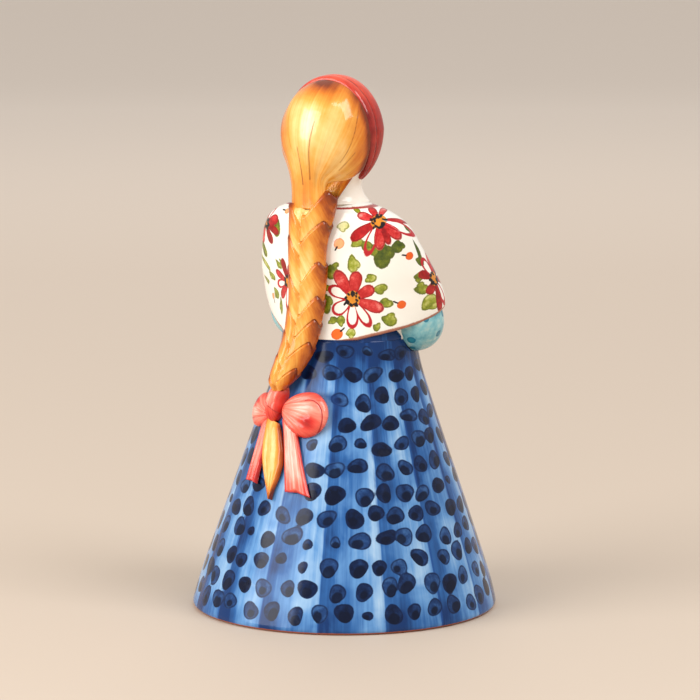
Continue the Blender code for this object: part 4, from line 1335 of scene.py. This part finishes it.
# Heights of the upper ends of the plait's lobes, on her right and on her left.
RIGHT_LOBES = (102.9, 95.8, 86.2, 78.0, 72.4, 66.8, 60.4, 55.0)
LEFT_LOBES = (99.8, 92.4, 83.0, 75.6, 69.6, 63.8, 58.4)


def plait_lobes(across, level, wide):
    """Two rows of lobes that lap over each other, each lower one over the one above it.

    Gives how far they stand out, how far below its lobe's upper edge a point is, and how far out in its lobe.
    """
    lift = np.zeros(across.shape)
    depth = np.full(across.shape, FAR)
    edge_share = np.zeros(across.shape)
    for side, tops, slant in ((1, RIGHT_LOBES, 1.25), (-1, LEFT_LOBES, 1.5)):
        half = across * side
        mine = half > (-0.16 if side > 0 else 0.12)
        for top in tops:
            outer = np.clip(half, 0, 1)
            # the lobe's upper edge falls from its rounded outer end towards the plait's middle
            edge = top - slant * wide[:, None] * (1 - outer) ** 1.25
            edge = edge - 2.2 * np.clip((outer - 0.72) / 0.28, 0, 1) ** 2.2
            below = edge - level
            inside = mine & (below > 0)
            shape = 1.02 * np.sqrt(np.clip(below / 0.9, 0, 1)) * (1 - 0.80 * np.clip(below / 10.5, 0, 1))
            shape = shape * (0.62 + 0.38 * np.sin(np.pi * np.clip(0.18 + 0.74 * outer, 0, 1)))
            lift = np.where(inside, shape, lift)
            depth = np.minimum(np.where(inside, below, depth), FAR)
            edge_share = np.where(inside, outer, edge_share)
    return lift, depth, edge_share


def make_plait(look):
    columns, rows = 200, 420
    length = PLAIT[-1][0]
    along = np.linspace(0, length, rows)
    cx, cy, cz, wide, thick = through(PLAIT, along)
    slope_y, slope_z = np.gradient(cy, along), np.gradient(cz, along)
    size = np.hypot(slope_y, slope_z)
    out_y, out_z = -slope_z / size, slope_y / size
    turn = full_turn(columns)
    ct, st = np.cos(turn)[None, :], np.sin(turn)[None, :]
    across = -ct * np.ones((rows, 1))  # -1 at her left edge, 1 at her right one
    back = ease(st, -0.75, -0.35) * np.ones((rows, 1))
    level = np.broadcast_to(cz[:, None], across.shape)
    lift, depth, edge_share = plait_lobes(across, level, wide)
    lift = lift * np.where(across < -0.15, 0.55, 1.1) + 0.35 * (across < -0.15)
    lift = lift - 0.22 * np.exp(-(((across + 0.15) / 0.10) ** 2))
    lift = lift - 2.0 * ease(level, 96.5, 98.5) * (depth >= FAR)
    lift = lift * back * np.interp(along, (0, 3, length - 2, length), (0.0, 1, 1, 0.6))[:, None]
    base = 0.55 - 0.50 * ease(-across, -0.1, 0.5)
    out = (thick[:, None] - base + lift) * st
    x = cx[:, None] + (wide[:, None] - base + lift) * ct
    points = xyz(x, cy[:, None] + out * out_y[:, None], cz[:, None] + out * out_z[:, None])
    outer_end = ease(edge_share, 0.35, 0.95)
    amber = 0.34 * np.exp(-depth / 3.2) * (0.30 + 0.70 * outer_end) + 0.19 * outer_end
    amber -= 0.12 * ease(depth, 3.0, 8.0) * (1 - outer_end)
    amber += 0.08 * ease(level, 94, 102) * (across > -0.1)
    amber += 0.17 + 0.06 * ease(-across, 0.5, 1.0)
    values = {
        "strand": xyz(2.4 * across + 0.22 * (level - 80), 0.4 * st * back, 0.16 * level + 0.9 * across),
        "amber": np.where(back > 0.3, amber, 0.12),
        "seam": np.where(back > 0.3, depth + np.where(across < -0.15, 0.16, 0.02), FAR),
    }
    mesh = grid_mesh("plait_braided", points, [look], values)
    piece("plait_braided", mesh, "braid")


# ---------------------------------------------------------------- headband

BAND_HALF_WIDTH = 3.4
BAND_Y = 4.6
BAND_RISE = 0.5
BAND_SPREAD = 140  # how far the band goes down each side from the top, in degrees
BAND_GROOVE = 0.9  # how far behind the middle the groove lies


def band_paint():
    paint = Paint("painted_band")
    strand = paint.laid_vector("strand")
    fine = paint.noise(strand, 2.6, 4, 0.6)
    patch = paint.cloud(0.3, 3, 0.5)
    depth = paint.sum("MULTIPLY_ADD", fine, 0.35, paint.sum("MULTIPLY", patch, 0.35))
    depth = paint.sum("ADD", depth, paint.laid("amber"))
    colour = paint.ramp(
        depth,
        (0.20, srgb(246, 130, 96)),
        (0.42, srgb(226, 84, 60)),
        (0.65, srgb(178, 44, 32)),
        (0.90, srgb(118, 18, 16)),
    )
    line = paint.sum("MULTIPLY", paint.step(paint.laid("seam"), 0.3, 0.08), paint.step(fine, 0.3, 0.6))
    colour = paint.blend(line, colour, srgb(112, 20, 16))
    paint.colour(colour)
    return paint.glaze(height=fine, wave=0.08)


def make_band(look):
    """A flat band from jaw to jaw, with a groove along it, tapering to its ends."""
    rows, columns = 260, 96
    spread = math.radians(BAND_SPREAD)
    turn = np.linspace(-spread, spread, rows)[:, None]
    taper = np.minimum(1.0, 0.16 + 1.7 * (1 - np.abs(turn) / spread) ** 0.8)
    out_x, out_z = np.sin(turn), np.cos(turn)
    thick = HAIR_HALF.x + BAND_RISE - HEAD_HALF.x
    corner = full_turn(columns)[None, :]
    c, s = np.cos(corner), np.sin(corner)
    across = BAND_HALF_WIDTH * taper * np.sign(c) * np.abs(c) ** 0.75
    groove = 0.22 * np.exp(-(((across - BAND_GROOVE * taper) / 0.32) ** 2)) * (s > 0.2)
    rise = thick * (0.55 + 0.45 * taper) * (0.5 + 0.5 * np.sign(s) * np.abs(s) ** 0.75) - groove - 0.1
    x = HEAD_HALF.x * out_x + out_x * rise
    z = HEAD_CENTRE.z + HEAD_HALF.z * out_z + out_z * rise
    points = xyz(x, BAND_Y + across, z)
    values = {
        "strand": xyz(2.2 * turn, 0.9 * across, 0),
        # darker towards the band's ends; the darkening at its back edge, next to the hair, is painted shade
        "amber": 0.06 + 0.34 * ease(np.abs(turn), 0.25, 1.5) + 0.10 * ease(across, 1.4, 3.2),
        "seam": np.where(s > 0.1, np.abs(across - BAND_GROOVE * taper), FAR),
    }
    mesh = grid_mesh("headband_glazed", points, [look], values)
    piece("headband_glazed", mesh, "headband")


# ---------------------------------------------------------------- bow

BOW_X, BOW_Z = 6.8, 50.6


def skirt_seat(x, z, lift, turn_deg=0.0, flip=False):
    """A matrix on the skirt's back: own Z out of the skirt, own Y up it, own X to her right.

    flip turns own X and Y round to the other way.
    """
    radius = float(skirt_radius(z))
    turn = math.asin(x / radius)
    out = Vector((math.sin(turn), math.cos(turn), CONE_SLOPE)).normalized()
    spot = Vector((x, -LEAN * z + radius * math.cos(turn), z)) + out * lift
    across = Vector((0, 0, 1)).cross(out).normalized()
    made = Matrix((across, out.cross(across), out)).transposed().to_4x4()
    return Matrix.Translation(spot) @ made @ Matrix.Rotation(math.radians(turn_deg + 180 * flip), 4, "Z")


def seated(points, seat):
    """The points moved by a seat's matrix."""
    flat = points.reshape(-1, 3)
    matrix = np.array(seat)
    return (flat @ matrix[:3, :3].T + matrix[:3, 3]).reshape(points.shape)


def ribbon_paint():
    paint = Paint("painted_ribbon")
    strand = paint.laid_vector("strand")
    fine = paint.noise(strand, 3.4, 4, 0.65, 0.1)
    broad = paint.noise(strand, 0.9, 2, 0.5, 0.3)
    depth = paint.sum("MULTIPLY_ADD", fine, 0.42, paint.sum("MULTIPLY", broad, 0.40))
    depth = paint.sum("ADD", depth, paint.laid("amber"))
    colour = paint.ramp(
        depth,
        (0.14, srgb(252, 208, 192)),
        (0.34, srgb(246, 148, 128)),
        (0.54, srgb(232, 92, 74)),
        (0.76, srgb(210, 48, 40)),
        (1.0, srgb(158, 22, 24)),
    )
    colour = paint.cover(colour, srgb(164, 34, 34), paint.laid("seam"), 0.28, 0.08)
    paint.colour(colour)
    return paint.glaze(height=fine, wave=0.12)


def ball_grid(rows, columns):
    """X, Y and Z over a unit sphere whose poles are on X: the first row is at -X."""
    lift = np.linspace(0.02, math.pi - 0.02, rows)[:, None]
    turn = full_turn(columns)
    return np.broadcast_arrays(-np.cos(lift), np.sin(lift) * np.cos(turn), np.sin(lift) * np.sin(turn))


# The bow's loops: place from the knot across and down the skirt, turn, and half length, width and thickness.
LOOPS = {
    "bow_loop_right": (-7.7, -1.6, -9, (6.2, 5.7, 2.6)),
    "bow_loop_left": (6.0, -2.4, -6, (4.7, 4.4, 2.1)),
}
KNOT_HALF = (2.6, 4.8, 3.2)


def make_loop(replaced, look):
    """A puffed loop, narrow and creased at the knot, with a curled fold on its round end."""
    aside, down, turn_deg, half = LOOPS[replaced]
    name = replaced + "_modelled"
    x, y, z = ball_grid(130, 160)
    pinch = 0.74 + 0.26 * np.minimum(1.0, (1 + x) / 1.25) ** 0.8
    fan = np.arctan2(y, x + 1.35)
    creases = 0.10 * np.sin(26 * fan) * np.exp(-((x + 0.35) / 0.7) ** 2)
    curl = np.hypot((x - 0.28) / 0.62, (y + 0.18) / 0.80) - 1
    fold = 0.10 * np.exp(-((curl / 0.07) ** 2)) * ease(x, -0.1, 0.35)
    height = z * (1 + (creases - fold) * (z > 0))
    seat = skirt_seat(BOW_X + aside, BOW_Z + down, 0.7, turn_deg, flip=aside > 0)
    points = seated(xyz(x * half[0], y * half[1] * pinch, height * half[2]), seat)
    amber = 0.04 + 0.46 * bump_at(x - 0.40, y + 0.34, 0.30, 0.30) + 0.16 * ease(np.abs(y), 0.55, 1.0)
    amber += 0.12 * ease(x, -0.7, -1.0) - 0.20 * bump_at(x + 0.1, y - 0.15, 0.5, 0.40)
    values = {
        "strand": xyz(4.4 * fan, 0.35 * x, 0),
        "amber": amber * (z > -0.4),
        "seam": np.where((x > 0.0) & (z > 0), np.abs(curl) * 4.0 + 0.06, FAR),
    }
    piece(name, grid_mesh(name, points, [look], values), replaced)


def make_knot(look):
    x, y, z = ball_grid(90, 120)
    creases = 0.05 * np.sin(15 * np.arctan2(x, 1.6 - np.abs(y)))
    waist = 1 - 0.16 * np.exp(-((y - 0.1) / 0.25) ** 2)
    long, wide, thick = KNOT_HALF
    points = xyz(x * long * waist, y * wide, z * thick * (1 + creases * (z > 0)))
    points = seated(points, skirt_seat(BOW_X + 0.5, BOW_Z + 0.2, 1.0))
    # darker on the lower half and at the ends; the pale patch taken off near the middle is a painted
    # highlight
    amber = 0.08 + 0.24 * ease(-y, 0.0, 0.9) + 0.20 * ease(np.abs(x), 0.6, 1.0)
    values = {
        "strand": xyz(2.2 * x, 0.3 * y, 0),
        "amber": amber - 0.22 * bump_at(x + 0.1, y - 0.1, 0.4, 0.35),
        "seam": np.where(z > 0, np.abs(y + 0.28 + 0.3 * x) * 3 + 0.1, FAR),
    }
    piece("bow_knot_modelled", grid_mesh("bow_knot_modelled", points, [look], values), "bow_knot")


# The three flat ends below the knot, each with the CAD piece that it replaces and its slot. turn is its slant
# in degrees, halves its half widths from the bow to the tip, notch and bend the cut of its tip, and amber how
# much darker its paint is.
TAILS = {
    "ribbon_end_right": dict(
        replaced="ribbon_tail_right",
        slot="ribbon",
        start_x=2.7,
        length=16.0,
        halves=(2.3, 2.6, 2.9, 3.3, 3.8),
        thick=1.3,
        turn=19.5,
        notch=1.4,
        bend=-0.9,
        amber=0.0,
    ),
    "ribbon_end_left": dict(
        replaced="ribbon_tail_left",
        slot="ribbon",
        start_x=10.0,
        length=14.2,
        halves=(1.4, 1.6, 1.8, 1.9, 2.1),
        thick=1.2,
        turn=-5,
        notch=0.6,
        bend=0.3,
        amber=0.20,
    ),
    "plait_end_lock": dict(
        replaced="braid_tail",
        slot="hair",
        start_x=7.7,
        length=17.8,
        halves=(2.3, 3.2, 3.8, 3.7, 2.7, 1.3, 0.15),
        thick=1.6,
        turn=11.5,
        notch=0.0,
        bend=0.0,
        amber=0.28,
    ),
}
TAIL_TOP = BOW_Z - 4.0


def make_tail(name, look, replaced, slot, start_x, length, halves, thick, turn, notch, bend, amber):
    """A flat end of ribbon or hair that follows the skirt."""
    rows, columns = 120, 96
    share = np.linspace(0, 1, rows)[:, None]
    c, s = np.cos(full_turn(columns)), np.sin(full_turn(columns))
    wide = np.interp(share, np.linspace(0, 1, len(halves)), halves)
    across = wide * np.sign(c) * np.abs(c) ** 0.8
    rise = thick / 2 * np.sign(s) * np.abs(s) ** 0.7
    u = across / wide
    ridge = 0.16 * np.sin(9 * u + 2 * share) * (s > 0) * ease(share, 0.0, 0.2)
    down = length * share + notch * (np.abs(u) - 0.5) * share**6 + bend * u * share**6
    slant = math.radians(turn)
    x = start_x - across * math.cos(slant) - down * math.sin(slant)
    z = TAIL_TOP - across * math.sin(slant) - down * math.cos(slant)
    radius = skirt_radius(z)
    lift = 0.75 + (rise + ridge) * ease(share, -0.05, 0.1) + 0.3 * np.exp(-share / 0.12)
    reach = radius + lift * 0.95
    side = np.arcsin(np.clip(x / radius, -1, 1))
    points = xyz(reach * np.sin(side), reach * np.cos(side) - LEAN * z, z + 0.33 * lift)
    shade = 0.24 * ease(np.abs(u), 0.5, 1.0) + 0.24 * ease(share, 0.72, 1.0) - 0.20 * (1 - np.abs(u))
    values = {
        "strand": xyz(1.5 * u, 0, 0.9 * share),
        "amber": shade + amber,
        "seam": np.where(s > 0.2, FAR, 0.32)[None, :],
    }
    piece(name, grid_mesh(name, points, [look], values), replaced)


# ---------------------------------------------------------------- sleeves and hands

# The middle line of her left sleeve: length along it, X, Y, Z and radius.
SLEEVE = (
    (0.0, 16.6, -4.0, 74.3, 5.1),
    (3.5, 17.0, -5.2, 71.0, 6.4),
    (6.8, 16.0, -6.8, 69.0, 6.7),
    (10.4, 14.0, -10.0, 68.3, 6.0),
    (14.0, 12.8, -13.0, 68.3, 5.3),
    (17.4, 10.2, -15.2, 68.5, 5.0),
    (20.5, 7.6, -16.8, 68.8, 4.8),
)
SLEEVE_LENGTH = SLEEVE[-1][0]
CUFF = 19.6  # how far along the sleeve its brown line is


def sleeve_paint():
    paint = Paint("painted_sleeve")
    patch = paint.cloud(0.35, 3, 0.6)
    colour = paint.ramp(
        patch,
        (0.3, srgb(84, 158, 176)),
        (0.5, srgb(132, 192, 200)),
        (0.75, srgb(196, 218, 208)),
    )
    fine = paint.cloud(1.2, 2)
    dot = paint.wander(paint.laid("dot"), fine, 0.15)
    spot = paint.blend(paint.step(dot, -0.1, -0.7), srgb(30, 116, 142), srgb(48, 138, 160))
    colour = paint.cover(colour, spot, dot, 0.12, -0.12)
    colour = paint.cover(colour, srgb(150, 84, 66), paint.laid("cuff"), 0.5, 0.3)
    paint.colour(colour)
    return paint.glaze(wave=0.06)


def make_sleeve(side, word, look):
    """The lower arm's cloth. side is 1 on her left and -1 on her right."""
    rows, columns = 130, 120
    along = np.linspace(0, SLEEVE_LENGTH, rows)
    px, py, pz, radius = through(SLEEVE, along)
    middle = np.stack([side * px, py, pz], axis=-1)
    ahead = np.gradient(middle, along, axis=0)
    ahead /= np.linalg.norm(ahead, axis=1)[:, None]
    up = np.cross(ahead, np.array([0, -0.3, 1.0])[None, :])
    up /= np.linalg.norm(up, axis=1)[:, None]
    over = np.cross(up, ahead)
    turn = full_turn(columns)
    creases = 0.12 * np.sin(along / SLEEVE_LENGTH * 30)[:, None] * ease(-np.cos(turn), 0.2, 1.0)[None, :]
    closing = np.sqrt(np.clip((SLEEVE_LENGTH - along) / 0.9, 0.0, 1))
    reach = radius[:, None] * (0.86 + 0.14 * closing[:, None]) + creases
    points = (
        middle[:, None, :]
        + up[:, None, :] * (reach * np.cos(turn)[None, :])[..., None]
        + over[:, None, :] * (reach * np.sin(turn)[None, :])[..., None]
    )
    dot = np.full(points.shape[:-1], FAR)
    for _ in range(46):
        i = RNG.randrange(10, rows - 12)
        j = RNG.randrange(columns)
        size = RNG.uniform(0.7, 1.15)
        if dot[i, j] > 1.2:
            apart = np.linalg.norm(points - points[i, j], axis=-1) - size
            dot = np.minimum(dot, apart)
    values = {"dot": dot, "cuff": np.abs(along - CUFF)[:, None]}
    name = word + "_sleeve_glazed"
    piece(name, grid_mesh(name, points, [look], values), word + "_sleeve")


def lobe_points(start, end, half, rows=26, columns=28):
    """A rounded finger from start to end."""
    start, end = np.array(start, float), np.array(end, float)
    along = end - start
    length = np.linalg.norm(along)
    along /= length
    side = np.cross(along, (0, 0, 1.0))
    side /= np.linalg.norm(side)
    over = np.cross(side, along)
    lift = np.linspace(0.03, math.pi - 0.03, rows)
    wide = half * np.sin(lift) ** 0.6
    spot = start + along * ((1 - np.cos(lift)) / 2 * length)[:, None]
    turn = full_turn(columns)
    return (
        spot[:, None, :]
        + side * (wide[:, None] * np.cos(turn))[..., None]
        + over * (wide[:, None] * np.sin(turn))[..., None]
    )


def joined(name, meshes):
    """One mesh from several."""
    bm = bmesh.new()
    for mesh in meshes:
        bm.from_mesh(mesh)
    made = bpy.data.meshes.new(name)
    bm.to_mesh(made)
    bm.free()
    for look in meshes[0].materials:
        made.materials.append(look)
    made.shade_smooth()
    for mesh in meshes:
        bpy.data.meshes.remove(mesh)
    return made


def make_hand(side, word, look):
    """A small hand folded in front of the waist: a palm, four fingers and a thumb."""
    parts = [((7.4, -17.0, 69.0), (1.6, -19.6, 69.0), 2.5)]
    for k in range(4):
        high = 71.0 - 1.35 * k
        parts.append(((4.0, -19.3, high), (-1.2 + 0.25 * abs(k - 1), -20.6 + 0.15 * k, high - 0.3), 0.78))
    parts.append(((5.2, -18.2, 71.2), (1.4, -19.2, 72.3), 0.8))
    meshes = []
    for number, (start, end, half) in enumerate(parts):
        if side < 0 and number > 0:
            start = (start[0], start[1] + 0.7, start[2] + 0.5)
            end = (end[0] + 1.2, end[1] + 0.7, end[2] + 0.5)
        points = lobe_points((side * start[0], *start[1:]), (side * end[0], *end[1:]), half)
        meshes.append(grid_mesh(f"{word}_hand_{number}", points, [look]))
    mesh = joined(word + "_hand_modelled", meshes)
    piece(word + "_hand_modelled", mesh, word + "_hand")


def hand_paint():
    paint = Paint("painted_hand")
    patch = paint.cloud(0.5, 3, 0.6)
    paint.colour(paint.blend(patch, srgb(240, 208, 184), srgb(250, 234, 216)))
    return paint.glaze(wave=0.05)


# ---------------------------------------------------------------- ceiling and clapper

PIVOT = Vector((0, -0.9, 52.2))
CEILING_LOW, CEILING_HIGH = 58.2, 61.4
PIN_HOLE_RADIUS = 1.35
PIN_EYE_RADIUS, PIN_EYE_Z, PIN_WIRE = 2.4, 54.6, 0.45
LEG_SPACING = 0.62
CLAPPER_WIRE, CLAPPER_EYE_RADIUS = 0.5, 2.2
EYE_PLAY = 0.3
BALL_RADIUS, BALL_Z, BALL_BORE = 8.0, 19.5, 0.95
CURL_RADIUS = 1.4
WASHER_RADIUS, WASHER_THICK = 3.4, 0.5


def turned(name, profile, look, middle_y=0.0, columns=128, lean=0.0):
    """A closed profile of (radius, height) turned about Z."""
    radius, z = (np.array(column)[:, None] for column in zip(*profile))
    turn = full_turn(columns)
    points = xyz(radius * np.sin(turn), radius * np.cos(turn) + middle_y - lean * z, z)
    return grid_mesh(name, points, [look], looped=True)


def rounded_box(inner, outer, low, high, bevel):
    """The profile of a turned ring with rounded edges."""
    made = []
    steps = 4
    inner, outer, low, high = inner + bevel, outer - bevel, low + bevel, high - bevel
    for quarter, (r, z) in enumerate(((outer, high), (inner, high), (inner, low), (outer, low))):
        for k in range(steps + 1):
            turn = (quarter + k / steps) * math.pi / 2
            made.append((r + bevel * math.cos(turn), z + bevel * math.sin(turn)))
    return made


def clay_paint():
    paint = Paint("bare_clay", 0.8)
    patch = paint.cloud(0.35, 4, 0.65)
    grit = paint.cloud(3.0, 3, 0.7)
    colour = paint.blend(patch, srgb(196, 150, 122), srgb(222, 188, 162))
    paint.colour(paint.blend(paint.step(grit, 0.36, 0.3), colour, srgb(150, 96, 72)))
    paint.roughness(paint.ramp(patch, (0.3, grey(0.68)), (0.7, grey(0.9))))
    paint.bump(grit, 0.10)
    return paint.material


def steel_paint():
    paint = Paint("drawn_steel", 0.3, 1.0)
    patch = paint.cloud(0.5, 4, 0.6)
    paint.colour(paint.blend(patch, srgb(150, 148, 146), srgb(206, 204, 200)))
    scratch = paint.noise(paint.stretch(paint.place(1.0), (4.0, 4.0, 0.4)), 1.0, 3, 0.6)
    paint.roughness(paint.ramp(scratch, (0.3, grey(0.2)), (0.7, grey(0.42))))
    paint.bump(scratch, 0.01)
    return paint.material


def ball_paint():
    paint = Paint("glazed_ball")
    patch = paint.cloud(0.18, 3, 0.5)
    speck = paint.cloud(1.4, 2, 0.5)
    colour = paint.blend(patch, srgb(232, 226, 212), srgb(246, 243, 234))
    paint.colour(paint.blend(paint.step(speck, 0.27, 0.24), colour, srgb(120, 84, 60)))
    return paint.glaze(wave=0.06)


def make_ceiling(look):
    top = float(skirt_radius(CEILING_HIGH)) - SKIRT_WALL - 0.3
    profile = rounded_box(PIN_HOLE_RADIUS, top, CEILING_LOW, CEILING_HIGH, 0.35)
    mesh = turned("waist_ceiling_clay", profile, look, lean=LEAN)
    shift = PIVOT.y + LEAN * (CEILING_LOW + CEILING_HIGH) / 2
    near = np.array([v.co[:] for v in mesh.vertices])
    middle_y = -LEAN * near[:, 2]
    radius = np.hypot(near[:, 0], near[:, 1] - middle_y)
    near[:, 1] += shift * np.clip(1 - (radius - PIN_HOLE_RADIUS) / 4, 0, 1)
    mesh.vertices.foreach_set("co", near.reshape(-1))
    piece("waist_ceiling_clay", mesh, "waist_ceiling")


def wire(name, points, radius, look, body, replaced):
    """A round wire along points in millimetres."""
    curve = bpy.data.curves.new(name, "CURVE")
    curve.dimensions = "3D"
    curve.bevel_depth = radius * MM
    curve.bevel_resolution = 8
    curve.use_fill_caps = True
    spline = curve.splines.new("POLY")
    spline.points.add(len(points) - 1)
    for knot, point in zip(spline.points, points):
        knot.co = (*(Vector(point) * MM), 1)
    spline.use_smooth = True
    curve.materials.append(look)
    settle(bpy.data.objects.new(name, curve), body, replaced)


def arc(centre_a, centre_b, radius, start_deg, end_deg, steps):
    """Points (a, b) on an arc, 0 degrees being towards +b and growing towards +a."""
    made = []
    for k in range(steps + 1):
        turn = math.radians(start_deg + (end_deg - start_deg) * k / steps)
        made.append((centre_a + radius * math.sin(turn), centre_b + radius * math.cos(turn)))
    return made


def make_pin(look):
    opening = math.degrees(math.asin(LEG_SPACING / PIN_EYE_RADIUS))
    loop = arc(0, PIN_EYE_Z, PIN_EYE_RADIUS, opening, 360 - opening, 60)
    leg = [(LEG_SPACING, CEILING_HIGH), (LEG_SPACING + 0.15, CEILING_HIGH + 0.7), (2.1, 63.1), (3.5, 64.4)]
    path = leg[::-1] + loop + [(-x, z) for x, z in leg]
    wire("split_pin_wire", [(x, PIVOT.y, z) for x, z in path], PIN_WIRE, look, "pin", "split_pin")


def make_washer(look):
    high = CEILING_LOW - 0.3
    profile = rounded_box(PIN_HOLE_RADIUS, WASHER_RADIUS, high - WASHER_THICK, high, 0.12)
    mesh = turned("washer_stamped", profile, look, middle_y=PIVOT.y, columns=72)
    piece("washer_stamped", mesh, "pin_washer", body="pin")


def make_clapper(wire_look, ball_look):
    eye_z = PIVOT.z + PIN_WIRE + EYE_PLAY + CLAPPER_WIRE - CLAPPER_EYE_RADIUS
    eye = [(-a, b) for a, b in arc(0, eye_z, CLAPPER_EYE_RADIUS, -150, 180, 60)]
    curl_z = BALL_Z - BALL_RADIUS - 0.4 - CLAPPER_WIRE - CURL_RADIUS
    curl = arc(0, curl_z, CURL_RADIUS, 0, 300, 40)
    path = eye + [(0, eye_z - CLAPPER_EYE_RADIUS - 2)] + curl
    points = [(0, PIVOT.y + a, b) for a, b in path]
    wire("clapper_wire_bent", points, CLAPPER_WIRE, wire_look, "clapper", "clapper_wire")
    opening = math.asin(BALL_BORE / BALL_RADIUS)
    steps = 60
    profile = []
    for k in range(steps + 1):
        turn = opening + (math.pi - 2 * opening) * k / steps
        profile.append((BALL_RADIUS * math.sin(turn), BALL_Z + BALL_RADIUS * math.cos(turn)))
    mesh = turned("clapper_ball_glazed", profile, ball_look, middle_y=PIVOT.y, columns=120)
    piece("clapper_ball_glazed", mesh, "clapper_ball", body="ball")


# ---------------------------------------------------------------- assembly

SPOTS = spots_on_skirt()

make_camera()
make_lights()
make_floor()
SKIRT_LOOK, SHAWL_LOOK, SKIN_LOOK = skirt_paint(), shawl_paint(), skin_paint()
HAIR_LOOK, RIBBON_LOOK = hair_paint(), ribbon_paint()
CLAY_LOOK, STEEL_LOOK, BALL_LOOK = clay_paint(), steel_paint(), ball_paint()
make_skirt([SKIRT_LOOK])
make_torso([SHAWL_LOOK, SKIRT_LOOK])
make_head(SKIN_LOOK)
make_hair(HAIR_LOOK)
make_plait(HAIR_LOOK)
make_band(band_paint())
for LOOP in LOOPS:
    make_loop(LOOP, RIBBON_LOOK)
make_knot(RIBBON_LOOK)
for NAME, TAIL in TAILS.items():
    make_tail(NAME, {"ribbon": RIBBON_LOOK, "hair": HAIR_LOOK}[TAIL["slot"]], **TAIL)
SLEEVE_LOOK, HAND_LOOK = sleeve_paint(), hand_paint()
for SIDE, WORD in ((-1, "right"), (1, "left")):
    make_sleeve(SIDE, WORD, SLEEVE_LOOK)
    make_hand(SIDE, WORD, HAND_LOOK)
make_ceiling(CLAY_LOOK)
make_pin(STEEL_LOOK)
make_washer(STEEL_LOOK)
make_clapper(STEEL_LOOK, BALL_LOOK)
